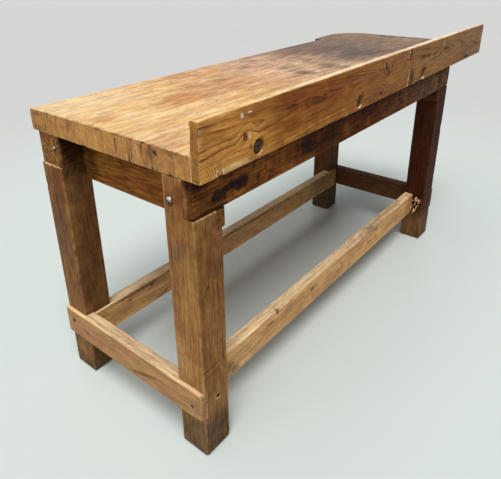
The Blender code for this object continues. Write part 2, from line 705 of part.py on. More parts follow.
def screw_back_rail(far, rail, end_apron):
    """Drive a round-headed screw through the rail's end grain and the end apron's lap."""
    turn = drive_from_end(far)
    head = from_end(BACK_RAIL_RECESS - GAP, far)
    place = (head, BACK_LEG_FRONT + RAIL_SCREW_INSET, UNDERSIDE - RAIL_SCREW_DROP)
    hole = rod_profile(RAIL_SCREW_RADIUS + GAP, RUN_OUT, -RAIL_SCREW_LENGTH - GAP)
    end = end_name(far)
    bore([rail, end_apron], f"{end}_rail_screw_hole", hole, place, turn)
    name = f"{end}_back_rail_screw"
    profile = dome_profile(
        RAIL_SCREW_DOME_RADIUS, RAIL_SCREW_DOME_HEIGHT, RAIL_SCREW_RADIUS, RAIL_SCREW_LENGTH)
    add_piece(name, turned_mesh(name, profile), DULL_STEEL, place, turn)


def dowel(name, pieces, radius, ahead, behind, place, turn):
    """A blind dowel across a joint, reaching a given depth to either side of its place."""
    bore(pieces, f"{name}_hole", rod_profile(radius + GAP, behind + GAP, -ahead - GAP), place, turn)
    add_piece(name, turned_mesh(name, rod_profile(radius, behind, -ahead)), BEECH_DOWEL, place, turn)


def dowel_end(far, leg, rail, apron, staves):
    """Set the dowels at one end: leg to top, back rail to top, and apron to leg."""
    end = end_name(far)
    x = from_end(TOP_DOWEL_INSET, far)
    dowel(
        f"{end}_front_top_dowel", [leg, staves[0]], DOWEL_RADIUS, DOWEL_DEPTH, DOWEL_DEPTH,
        (x, FRONT_DOWEL_SETBACK, UNDERSIDE), DRIVE_TURN["down"])
    dowel(
        f"{end}_back_top_dowel", [rail, staves[-1]], DOWEL_RADIUS, DOWEL_DEPTH, DOWEL_DEPTH,
        (x, FRAME_DEPTH - BACK_DOWEL_SETBACK, UNDERSIDE), DRIVE_TURN["down"])
    dowel(
        f"{end}_apron_peg", [apron, leg], APRON_PEG_RADIUS, APRON_PEG_LEG_DEPTH, APRON_PEG_APRON_DEPTH,
        (from_end(LEG_CENTRE, far), APRON_BACK, RAIL_BOTTOM + RAIL_HEIGHT / 2), DRIVE_TURN["inward"])


def build_bench():
    """Make every piece, then house, bore and fasten the joints."""
    staves = make_top()
    fence = make_fence()
    apron = make_front_apron()
    rail = make_back_rail()
    long_stretchers = {back: make_long_stretcher(back) for back in (False, True)}
    end_stretchers = {far: make_end_stretcher(far) for far in (False, True)}
    legs = {(far, back): make_leg(far, back) for far in (False, True) for back in (False, True)}
    for far in (False, True):
        house_front_leg(legs[far, False], far)
        house_back_leg(legs[far, True], far)
        end_apron = make_end_apron(far)
        bolt_end_apron(far, legs[far, False], end_apron)
        screw_back_rail(far, rail, end_apron)
        screw_stretchers(far, legs, end_stretchers[far], long_stretchers)
        dowel_end(far, legs[far, False], rail, apron, staves)
    screw_fence(fence, staves[0])


build_bench()
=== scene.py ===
"""Looks of a carpenter's workbench: aged pine timbers with worn arrises, and old steel fixings.

Laid out as an add-on. Each operator dresses one piece, or one group of like pieces, over
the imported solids, and the last one sets the stage. Sizes are in metres in the bench's own
frame. Marks on the timbers are placed from the outer foot corner of the near front leg.
"""

import json
import math
from collections import namedtuple
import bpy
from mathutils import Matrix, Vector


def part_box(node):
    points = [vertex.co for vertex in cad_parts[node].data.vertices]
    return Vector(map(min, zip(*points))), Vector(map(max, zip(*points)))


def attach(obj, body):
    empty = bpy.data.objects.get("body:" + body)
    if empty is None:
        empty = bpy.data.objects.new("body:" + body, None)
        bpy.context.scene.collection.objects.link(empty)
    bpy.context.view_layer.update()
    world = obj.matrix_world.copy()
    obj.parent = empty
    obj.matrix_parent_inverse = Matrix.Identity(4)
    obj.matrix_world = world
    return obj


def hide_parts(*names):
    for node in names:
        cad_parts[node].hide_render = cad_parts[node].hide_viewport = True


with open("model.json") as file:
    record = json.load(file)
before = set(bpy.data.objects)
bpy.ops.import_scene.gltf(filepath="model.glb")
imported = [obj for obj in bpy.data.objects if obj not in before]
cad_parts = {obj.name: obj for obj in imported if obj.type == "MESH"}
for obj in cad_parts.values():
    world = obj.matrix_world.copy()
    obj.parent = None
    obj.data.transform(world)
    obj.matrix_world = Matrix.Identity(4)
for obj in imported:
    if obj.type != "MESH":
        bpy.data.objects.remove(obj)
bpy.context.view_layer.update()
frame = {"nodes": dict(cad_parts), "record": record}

from types import SimpleNamespace

import bmesh
import bpy
import numpy as np
from bpy.props import FloatProperty, FloatVectorProperty, PointerProperty
from mathutils import Euler, Vector, noise

bl_info = {
    "name": "Carpenter's Workbench Finish",
    "version": (1, 0, 0),
    "blender": (4, 5, 0),
    "location": "View3D > Sidebar > Workbench",
    "description": "Dresses an old pine workbench in worn timber and steel, and sets its stage",
    "category": "Object",
}

BODY = "root"
SLOT_OF = {row["node"]: row["material_slot"] for row in frame["record"]["subparts"]}

# Outer foot corner of the near front leg, from which every mark is measured
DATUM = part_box("near_front_leg")[0]
TOP_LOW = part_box("top_stave_1")[0]
TOP_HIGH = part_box("top_stave_5")[1]
TOP_LENGTH = TOP_HIGH.x - TOP_LOW.x
STAVE_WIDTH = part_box("top_stave_1")[1].y - TOP_LOW.y
TOP_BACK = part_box("top_stave_6")[0].y + STAVE_WIDTH
MM = 0.001

# Node types, by short names
ATTRIBUTE = "ShaderNodeAttribute"
BACKGROUND = "ShaderNodeBackground"
BUMP = "ShaderNodeBump"
COORDINATES = "ShaderNodeTexCoord"
GEOMETRY = "ShaderNodeNewGeometry"
GROUP = "ShaderNodeGroup"
HUE_AND_VALUE = "ShaderNodeHueSaturation"
MAP_RANGE = "ShaderNodeMapRange"
MATH = "ShaderNodeMath"
MIX = "ShaderNodeMix"
NOISE = "ShaderNodeTexNoise"
OUTPUT = "ShaderNodeOutputMaterial"
PRINCIPLED = "ShaderNodeBsdfPrincipled"
RAMP = "ShaderNodeValToRGB"
SPLIT = "ShaderNodeSeparateXYZ"
VECTOR_MATH = "ShaderNodeVectorMath"

# Spacing of the cuts across a timber, finer where its faces show more wear
FINE_CUTS = 0.011
MIDDLE_CUTS = 0.016
COARSE_CUTS = 0.030
# Noise above which an arris is chipped: the lower, the more chips
TOP_CHIPS = 0.42
FENCE_CHIPS = 0.56
FRAME_CHIPS = 0.52
# Sizes of the waves by which wear varies: long and short on an arris, from chip to chip, in a face
LONG_WEAR = 0.045
SHORT_WEAR = 0.012
CHIP_WEAR = 0.026
FACE_WEAR = 0.11
# The least rounding of an arris
LEAST_ARRIS = 0.0004
# Each timber's number sets its noise and its place in the figure, this far from the next one's
GRAIN_STEP = 3.1
FIRST_STAVE, FIRST_FENCE, FIRST_LEG, FIRST_RAIL, FIRST_STRETCHER = 0, 10, 20, 30, 40
# Points this close are one, points this close to a cut lie on it, faces this flat are one, and
# an edge this sharp is drawn sharp
WELD = 1e-5
ON_PLANE = 1e-6
FLAT_ANGLE = math.radians(0.5)
SHARP_ANGLE = math.radians(38)
# A face looks along an axis from this share of its normal on
FACING_SHARE = 0.7
# The way that steel faces where its painted highlight is strongest
HIGHLIGHT_WAY = (-0.80, -0.10, 0.59)
# Dents in the top, corners of a pit's rim, and the seeds of all random draws
DENT_COUNT = 140
DENT_WIDTH = (0.005, 0.016)
PIT_SIDES = 9
DENT_SEED, PIT_SEED, SPLINTER_SEED = 11, 5, 23

# Stage: the floor's half width and where it fades, each light's width in degrees and way from
# the bench, and the camera solved from the photograph
FLOOR_REACH = 30.0
FLOOR_FADE = (1.2, 3.5)
KEY_LIGHT = (28.0, (-0.34, -0.31, 1.0))
OVERHEAD_LIGHT = (40.0, (-0.15, 0.15, 1.0))
FILL_LIGHT = (60.0, (-1.0, -0.1, 0.9))
CAMERA_PLACE = (-1.54232, -0.96926, 1.19343)
CAMERA_TURN = (66.172, 0.773, -50.923)
CAMERA_SHIFT = (0.0131, -0.1162)
SENSOR_WIDTH = 36.0

# A timber's long axis, its heart's place across it from the middle, and how dark it is drawn, which on the
# far end stretcher is painted shade
Timber = namedtuple("Timber", "along heart tone")
ALONG_X, ALONG_Y, ALONG_Z = range(3)
STAVES = {
    "top_stave_1": Timber(ALONG_X, (0.020, -0.090), 0.35),
    "top_stave_2": Timber(ALONG_X, (-0.060, -0.030), 0.6),
    "top_stave_3": Timber(ALONG_X, (0.075, 0.015), 0.15),
    "top_stave_4": Timber(ALONG_X, (-0.015, -0.070), 0.0),
    "top_stave_5": Timber(ALONG_X, (0.050, -0.045), 0.3),
    "top_stave_6": Timber(ALONG_X, (-0.070, 0.020), 0.55),
}
FENCE = {"front_fence": Timber(ALONG_X, (0.030, 0.017), 0.0)}
LEGS = {
    "near_front_leg": Timber(ALONG_Z, (0.070, 0.085), 0.0),
    "near_back_leg": Timber(ALONG_Z, (0.080, -0.060), 0.35),
    "far_front_leg": Timber(ALONG_Z, (-0.090, 0.050), 1.0),
    "far_back_leg": Timber(ALONG_Z, (-0.060, -0.080), 0.8),
}
RAILS = {
    "front_apron": Timber(ALONG_X, (0.055, -0.030), 1.0),
    "back_rail": Timber(ALONG_X, (0.060, 0.075), 0.0),
    "near_end_apron": Timber(ALONG_Y, (0.060, 0.020), 0.15),
    "far_end_apron": Timber(ALONG_Y, (-0.060, 0.030), 0.8),
}
STRETCHERS = {
    "near_end_stretcher": Timber(ALONG_Y, (0.055, -0.020), 0.50),
    "far_end_stretcher": Timber(ALONG_Y, (-0.060, 0.015), 1.0),
    "front_long_stretcher": Timber(ALONG_X, (0.050, 0.030), 0.0),
    "back_long_stretcher": Timber(ALONG_X, (-0.060, 0.010), 0.0),
}
BRIGHT_FIXINGS = tuple(name for name, slot in SLOT_OF.items() if slot == "bright_steel")
DARK_FIXINGS = tuple(name for name, slot in SLOT_OF.items() if slot == "dark_steel")
DOWELS = tuple(name for name, slot in SLOT_OF.items() if slot == "dowels")

# Places, reaches and depths of all marks are in mm from the datum
# An oval stain or splash on a face, its tone's name in the settings, and the slope it lies at
Mark = namedtuple("Mark", "middle reach tone strength slope", defaults=(0.0,))
# A mark under this reach has a finer rim, and noise pushes each rim by this share of its reach
SMALL_MARK = 15.0
RIM_RAGGED = 1.5
# A knot that runs through the fence: its reach along and up, and how far it pushes the rings
Knot = namedtuple("Knot", "middle reach push")
# A knot's reach across the board, which is so long that it never ends inside it
THROUGH = 100000.0
# A ragged hole in a face, which runs inwards along one axis
Pit = namedtuple("Pit", "middle inward reach depth")
INTO_X, INTO_Y = (1.0, 0.0, 0.0), (0.0, 1.0, 0.0)
END_HOLES = (
    Pit((0, 103, 825), INTO_X, (0, 10, 9), 14), Pit((0, 114, 784), INTO_X, (0, 4, 13), 12),
    Pit((0, 145, 841), INTO_X, (0, 5, 3), 4), Pit((0, 60, 830), INTO_X, (0, 3, 2), 3))
PITS = {
    "top_stave_1": END_HOLES,
    "top_stave_2": END_HOLES,
    "top_stave_3": END_HOLES,
    "front_fence": (
        Pit((827, -24, 884), INTO_Y, (7, 0, 5), 4), Pit((53, -24, 793), INTO_Y, (3, 0, 8), 4),
        Pit((66, -24, 791), INTO_Y, (3, 0, 7), 4), Pit((802, -24, 808), INTO_Y, (5, 0, 5), 4)),
    "near_front_leg": (Pit((50, 0, 177), INTO_Y, (5, 0, 4), 9), Pit((70, 0, 92), INTO_Y, (3, 0, 2), 3)),
    "far_front_leg": tuple(
        Pit((1421, y, z), INTO_X, (0, across, up), deep) for y, z, across, up, deep in (
            (43, 204, 8, 7, 7), (31, 192, 6, 8, 6), (44, 178, 7, 6, 8), (28, 172, 5, 6, 5),
            (41, 158, 8, 7, 7), (32, 142, 6, 6, 5), (44, 134, 6, 5, 6))),
}
# The split in the top's near end, which the part itself has, and which is dark inside
SPLITS = {"top_stave_2": (Pit((0, 189.5, 784), INTO_X, (0, 5, 24), 60),)}
# Knocks that have taken a piece off an arris: where, and how far along it
NOTCHES = (
    ((0, 141, 842), 10), ((0, 179, 842), 12), ((0, 207, 842), 9), ((0, 245, 842), 8),
    ((0, 304, 842), 8), ((0, 464, 842), 9), ((0, 586, 842), 10), ((0, 60, 785), 7),
    ((0, 360, 785), 8), ((60, -24, 785), 9), ((0, -13, 915), 12), ((0, -1, 893), 7),
    ((0, -2, 868), 6), ((0, -24, 902), 6), ((690, -24, 915), 9), ((-10, 0, 131), 11),
    ((-10, 12, 131), 7), ((-10, 0, 219), 7), ((1418, 51, 213), 12), ((1412, 51, 126), 12),
    ((0, 2, 762), 5), ((0, 2, 745), 5), ((0, 2, 728), 5), ((0, 2, 711), 5), ((0, 0, 0), 14),
    ((89, 0, 0), 12), ((1517, 2, 698), 10), ((1517, 2, 772), 8), ((1440, 587, 842), 14),
    ((1446, 587, 820), 14))
# Splinters that stand out of the far front leg, beside the stretcher let into it
SPLINTER_LOW = (1421.0, 14.0, 130.0)
SPLINTER_HIGH = (1421.0, 49.0, 212.0)
SPLINTER_COUNT = 30
SPLINTER_LENGTH = (8.0, 20.0)
SPLINTER_WIDTH = (2.2, 4.8)


def ring_round(name, reach, tone_name, strength):
    """A stain round the head of a fixing that shows on the near end."""
    low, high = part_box(name)
    middle = [(v - d) / MM for v, d in zip((low.x, (low.y + high.y) / 2, (low.z + high.z) / 2), DATUM)]
    return Mark(middle, (12, reach, reach), tone_name, strength)


def bore_shade(name):
    """Painted shade on the upper right wall of a bore in the fence, found from the washer in it."""
    middle = [(low + high) / 2 / MM - d / MM for low, high, d in zip(*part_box(name), DATUM)]
    return Mark([v + shift for v, shift in zip(middle, (9, -8, 8))], (18, 6, 19), "grime", 0.90)


# Clean, warm and stained patches of the worktop
TOP_STAINS = (
    Mark((110, 530, 842), (220, 130, 40), "top_glow", 0.55),
    Mark((295, 335, 842), (105, 95, 40), "stain_orange", 0.65),
    Mark((55, 335, 842), (40, 30, 40), "stain_orange", 0.55),
    Mark((500, 350, 842), (180, 150, 40), "top_pink", 0.42),
    Mark((510, 540, 842), (110, 70, 40), "top_pink", 0.42),
    Mark((30, 100, 842), (80, 70, 40), "top_pink", 0.45),
    Mark((790, 260, 842), (40, 110, 40), "stain_grey", 0.55),
    Mark((950, 235, 842), (45, 80, 40), "stain_grey", 0.40),
    Mark((730, 470, 842), (90, 60, 40), "stain_brown", 0.30),
    Mark((1100, 500, 842), (150, 120, 40), "stain_brown", 0.70),
    Mark((1190, 300, 842), (180, 120, 40), "stain_grey", 0.70),
    Mark((1290, 430, 842), (130, 100, 40), "stain_grey", 0.50),
    Mark((1400, 235, 842), (90, 50, 40), "top_pink", 0.18),
    Mark((1735, 360, 842), (40, 170, 40), "stain_grey", 0.60),
)

# Dark grain, dirt and rubbed wood on the staves' near end, and painted shade in the ear's step
TOP_END_MARKS = (
    Mark((0, 418, 826), (9, 9, 22), "knot", 0.60),
    Mark((0, 342, 812), (9, 5, 30), "knot", 0.35),
    Mark((0, 235, 816), (9, 5, 34), "knot", 0.60),
    Mark((0, 300, 838), (9, 20, 6), "knot", 0.50),
    Mark((0, 145, 826), (9, 6, 22), "knot", 0.55),
    Mark((0, 118, 822), (9, 16, 24), "knot", 0.55),
    Mark((0, 60, 838), (9, 40, 7), "grime", 0.35),
    Mark((0, 290, 841), (9, 330, 4), "knot", 0.45),
    Mark((0, 165, 815), (9, 14, 34), "worn", 0.35),
    Mark((0, 545, 795), (9, 34, 12), "knot", 0.40),
    Mark((0, 560, 832), (9, 26, 8), "knot", 0.45),
    # Painted shade on the face of the ear's step, which looks towards the near end
    Mark((1446, 596, 812), (20, 24, 70), "grime", 0.95),
)

# Broad patches of the fence, and the long dark strokes of its figure
FENCE_FIGURE = (
    Mark((330, -24, 895), (260, 20, 34), "fence_red", 0.42),
    Mark((410, -24, 800), (280, 20, 20), "fence_1", 0.45),
    Mark((105, -24, 792), (75, 20, 17), "worn", 0.75),
    Mark((62, -24, 806), (16, 20, 26), "stain_grey", 0.35),
    Mark((430, -24, 868), (72, 20, 15), "knot", 0.55),
    Mark((432, -24, 815), (13, 20, 30), "knot", 0.35),
    Mark((620, -24, 868), (60, 20, 8), "knot", 0.40),
    Mark((720, -24, 860), (50, 20, 10), "knot", 0.45),
    Mark((315, -24, 875), (58, 20, 5.5), "knot", 0.80, 0.05),
    Mark((517, -24, 875), (88, 20, 5.5), "knot", 0.80, -0.06),
    Mark((420, -24, 875), (58, 20, 6.5), "knot", 0.85, -0.16),
    Mark((425, -24, 861), (52, 20, 5.5), "knot", 0.70, 0.09),
    Mark((560, -24, 888), (150, 20, 5), "knot", 0.45, -0.02),
    Mark((640, -24, 866), (44, 20, 6), "knot", 0.60, 0.15),
)

# Knots, paint splashes, rubbed spots and dark cracks of the fence, and a painted highlight on the lower lip
# of a bore
FENCE_SPOTS = (
    Mark((142, -24, 849), (9, 20, 11), "knot", 0.85),
    Mark((157, -24, 846), (7, 20, 12), "worn", 0.80),
    Mark((161, -24, 823), (6, 20, 9), "knot", 0.50),
    Mark((11, -24, 796), (11, 20, 15), "fence_1", 0.85),
    Mark((52, -24, 794), (3, 20, 14), "paint", 0.70),
    Mark((70, -24, 792), (3, 20, 11), "paint", 0.50),
    Mark((133, -24, 897), (7, 20, 6.5), "paint", 1.00),
    Mark((158, -24, 899), (9.5, 20, 3), "paint", 0.85),
    Mark((586, -24, 787), (17, 20, 6), "worn", 0.70),
    Mark((826, -24, 886), (11, 20, 17), "grime", 0.75),
    Mark((812, -24, 893), (5, 20, 17), "worn", 0.70),
    Mark((846, -24, 864), (20, 20, 9), "knot", 0.70),
    Mark((802, -24, 808), (11, 20, 10), "knot", 0.90),
    Mark((1000, -24, 903), (5, 20, 20), "worn", 0.90),
    Mark((1014, -24, 898), (15, 20, 26), "knot", 0.80),
    Mark((1010, -24, 812), (6, 20, 36), "worn", 0.85),
    Mark((1034, -24, 811), (26, 20, 42), "knot", 0.90),
    Mark((1050, -24, 790), (22, 20, 5), "worn", 0.40),
    # Painted highlight on the lower lip of a bore, not paint
    Mark((1150, -24, 791), (10, 20, 5), "paint", 0.45),
    Mark((1325, -24, 892), (13, 20, 13), "worn", 0.50),
    Mark((1240, -24, 870), (34, 20, 8), "grime", 0.75, 0.10),
    Mark((1165, -24, 872), (60, 20, 6), "knot", 0.75, -0.05),
    Mark((1355, -24, 872), (34, 20, 6), "grime", 0.70, -0.10),
    Mark((1620, -24, 803), (46, 20, 10), "grime", 0.65),
)

# Red, dark, grey and rubbed patches of the legs, and painted shade on the near back leg's inner face
LEG_PATCHES = (
    Mark((0, 527, 80), (14, 90, 90), "leg", 0.65),
    Mark((45, -2, 70), (80, 14, 90), "stain_grey", 0.06),
    Mark((0, 527, 560), (14, 80, 170), "leg_dark", 0.12),
    Mark((45, -2, 560), (110, 14, 330), "leg_red", 0.50),
    Mark((35, -2, 600), (40, 14, 120), "leg_red", 0.50),
    Mark((10, -2, 470), (14, 14, 260), "leg_red", 0.50),
    Mark((60, -2, 250), (40, 14, 120), "leg_red", 0.35),
    Mark((25, -2, 490), (22, 14, 26), "grime", 0.30),
    Mark((45, 483, 450), (140, 14, 500), "leg_dark", 0.50),
    # Painted shade high on the near back leg's inner face, beneath the top
    Mark((45, 483, 720), (140, 14, 130), "grime", 0.50),
    Mark((0, 30, 735), (14, 70, 70), "leg_red", 0.50),
    Mark((0, 10, 590), (14, 20, 90), "leg_red", 0.45),
    Mark((0, 45, 700), (14, 110, 160), "leg_red", 0.40),
    Mark((1465, -2, 400), (140, 14, 600), "grime", 0.12),
    Mark((1421, 45, 50), (14, 110, 150), "leg", 0.40),
    Mark((1465, -2, 50), (110, 14, 150), "leg", 0.35),
    Mark((0, 48, 600), (14, 40, 60), "stain_grey", 0.35),
    Mark((0, 70, 300), (14, 40, 110), "worn", 0.22),
    Mark((0, 505, 640), (14, 70, 110), "leg_red", 0.50),
    Mark((0, 535, 480), (14, 60, 150), "stain_grey", 0.35),
)

# Scores on the legs, dirt round their fixings, and painted highlights on their shoulders
LEG_SPOTS = (
    Mark((12, -2, 283), (22, 12, 3.4), "grime", 0.60, 0.06),
    Mark((44, -2, 284), (22, 12, 3.2), "grime", 0.55, 0.08),
    Mark((20, -2, 262), (34, 12, 3.2), "grime", 0.45, 0.04),
    Mark((6, -2, 330), (5, 12, 60), "grime", 0.35),
    Mark((50, -2, 171), (11, 12, 4), "worn", 0.55),
    Mark((50, -2, 178), (10, 12, 7), "grime", 0.90),
    ring_round("near_apron_bolt", 18, "grime", 0.70),
    ring_round("near_apron_bolt", 30, "leg_red", 0.35),
    # Painted highlights on the upward-facing shoulder ledges of the near back and near front legs
    Mark((2, 527, 696), (9, 64, 5), "worn", 0.90),
    Mark((45, 1, 695), (60, 6, 4), "worn", 0.65),
    Mark((1421, 36, 170), (9, 22, 62), "grime", 0.85),
)

# Painted shade beneath the top, and dirty and rubbed patches of the rails
RAIL_PATCHES = (
    # Painted shade on the back rail's inner face beneath the top, at the near end
    Mark((45, 483, 745), (160, 14, 120), "grime", 0.85),
    Mark((430, 3, 735), (80, 20, 60), "grime", 0.65),
    Mark((560, 3, 735), (55, 20, 60), "grime", 0.60),
    # Painted shade on the apron's near end beneath the fence
    Mark((20, 3, 775), (50, 20, 34), "grime", 0.80),
    Mark((0, 16, 735), (8, 40, 110), "rail_end", 0.55),
    Mark((0, 27, 738), (8, 15, 66), "leg", 0.70),
    # Painted shade at the top of the apron's end grain, beneath the fence
    Mark((0, 6, 778), (8, 34, 26), "grime", 0.92),
    # Painted shade on the near end apron beneath the top
    Mark((70, 450, 730), (14, 60, 130), "grime", 0.70),
    Mark((70, 110, 730), (14, 60, 130), "grime", 0.35),
    Mark((1412, 250, 715), (20, 1200, 500), "leg_dark", 0.90),
    Mark((650, 3, 730), (40, 20, 45), "rail", 0.35),
    Mark((1070, 3, 735), (34, 20, 50), "rail", 0.50),
    Mark((940, 3, 715), (60, 20, 25), "leg_red", 0.50),
    Mark((1240, 3, 715), (70, 20, 25), "stain_grey", 0.50),
    Mark((5, 527, 740), (8, 80, 80), "worn", 0.06),
    ring_round("near_back_rail_screw", 14, "grime", 0.60),
)

# Purple spills and streaks of the front apron, and a painted shade line along its lower edge by the near
# leg
RAIL_SPOTS = (
    Mark((84, 3, 723), (42, 20, 22), "stain_purple", 0.92),
    Mark((146, 3, 732), (58, 20, 22), "stain_purple", 0.95),
    Mark((219, 3, 723), (13, 20, 8), "stain_purple", 0.85),
    Mark((250, 3, 741), (7, 20, 4), "stain_purple", 0.70),
    Mark((267, 3, 710), (8, 20, 5), "stain_purple", 0.70),
    Mark((36, 3, 716), (26, 20, 20), "stain_purple", 0.45),
    Mark((430, 3, 745), (60, 20, 12), "grime", 0.60, -0.25),
    Mark((480, 3, 722), (70, 20, 9), "grime", 0.60, 0.30),
    Mark((440, 3, 706), (70, 20, 9), "rail", 0.35, 0.20),
    Mark((790, 3, 722), (14, 20, 34), "rail", 0.55),
    # Painted shade line along the apron's lower edge, over the leg's shoulder
    Mark((40, 3, 699), (130, 20, 7), "grime", 0.85),
    Mark((38, 3, 741), (60, 20, 7), "grime", 0.60),
    Mark((34, 3, 714), (42, 20, 8), "leg_red", 0.55),
)

# Brown, red and pink patches of the stretchers
STRETCHER_PATCHES = (
    Mark((130, 51, 160), (70, 14, 55), "leg", 0.60),
    Mark((700, 51, 150), (300, 14, 25), "leg", 0.30),
    Mark((1390, 51, 170), (60, 14, 60), "leg", 0.75),
    Mark((1010, 52, 213), (180, 26, 12), "stain_grey", 0.50),
    Mark((480, 51, 165), (120, 14, 36), "leg_red", 0.25),
    Mark((860, 51, 190), (110, 14, 30), "leg_red", 0.25),
    Mark((1210, 51, 170), (120, 14, 36), "leg_red", 0.35),
    Mark((1180, 70, 213), (330, 34, 12), "leg", 0.60),
    Mark((1330, 476, 170), (300, 14, 140), "leg_dark", 0.60),
    Mark((-10, 470, 170), (14, 120, 50), "top_pink", 0.50),
    Mark((-10, 300, 190), (14, 90, 30), "top_pink", 0.40),
    Mark((-10, 130, 180), (14, 80, 50), "top_pink", 0.50),
)

# Knots and scrapes of the stretchers, and dirt round their screws
STRETCHER_SPOTS = (
    Mark((112, 51, 190), (18, 14, 22), "grime", 0.55),
    Mark((150, 51, 165), (24, 14, 14), "grime", 0.45),
    Mark((178, 51, 140), (22, 14, 12), "grime", 0.50),
    Mark((380, 51, 210), (12, 14, 12), "knot", 0.80),
    Mark((340, 51, 190), (24, 14, 9), "knot", 0.55),
    Mark((580, 51, 182), (13, 14, 9), "grime", 0.75),
    Mark((780, 51, 178), (12, 14, 8), "knot", 0.65),
    Mark((1000, 51, 165), (30, 14, 9), "knot", 0.45),
    ring_round("near_back_end_stretcher_screw", 9.5, "grime", 0.95),
    ring_round("near_front_end_stretcher_screw", 8.5, "grime", 0.90),
    Mark((-10, 222, 158), (14, 92, 7), "knot", 0.60, -0.30),
    Mark((-10, 478, 168), (14, 20, 10), "knot", 0.35),
    Mark((250, 476, 196), (10, 14, 8), "grime", 0.85),
    Mark((200, 476, 205), (120, 14, 9), "knot", 0.50),
    Mark((700, 476, 207), (500, 14, 8), "knot", 0.55),
)

# The fence's knots, then the arcs of dark grain about four of them and about the near lower
# corner, with the number of each
FENCE_KNOTS = (
    Knot((150, 0, 848), (9, 7), 12), Knot((415, 0, 868), (16, 5), 14), Knot((802, 0, 808), (6, 6), 9),
    Knot((838, 0, 876), (13, 8), 24), Knot((1033, 0, 812), (13, 12), 14), Knot((1011, 0, 901), (9, 10), 10),
    Knot((1325, 0, 889), (14, 7), 18), Knot((1620, 0, 803), (14, 6), 10))
FENCE_ARCS = (
    (Mark((12, -24, 788), (56, 100, 66), "knot", 0.55), 10.0),
    (Mark((835, -24, 872), (62, 100, 30), "knot", 0.45), 3.5),
    (Mark((796, -24, 800), (84, 100, 58), "knot", 0.60), 5.0),
    (Mark((1325, -24, 886), (95, 100, 28), "knot", 0.75), 5.0),
    (Mark((430, -24, 868), (95, 100, 22), "knot", 0.40), 4.0))
# Painted shade inside the fence's three bores
FENCE_BORES = tuple(bore_shade(f"fence_washer_{number}") for number in (1, 2, 3))
# The strip of saw marks down the fence's near edge, and how far apart they are
FENCE_TICKS = Mark((7, -24, 878), (7, 20, 48), "worn", 1.0)
TICK_GAP = 8.0


def linear(code):
    """Linear RGBA of an sRGB hex colour."""
    channels = [int(code[i:i + 2], 16) / 255 for i in (1, 3, 5)]
    return tuple(c / 12.92 if c <= 0.04045 else ((c + 0.055) / 1.055) ** 2.4 for c in channels) + (1.0,)


def tone(name, description, code):
    """A colour that a user can change, from its sRGB hex value."""
    return FloatVectorProperty(
        name=name, description=description, default=linear(code), size=4, min=0.0, max=1.0, subtype='COLOR')


def length(name, description, default):
    """A size in metres that a user can change."""
    return FloatProperty(name=name, description=description, default=default, min=0.0, unit='LENGTH')


def brightness(name, description, default):
    """A light's strength that a user can change."""
    return FloatProperty(name=name, description=description, default=default, min=0.0)


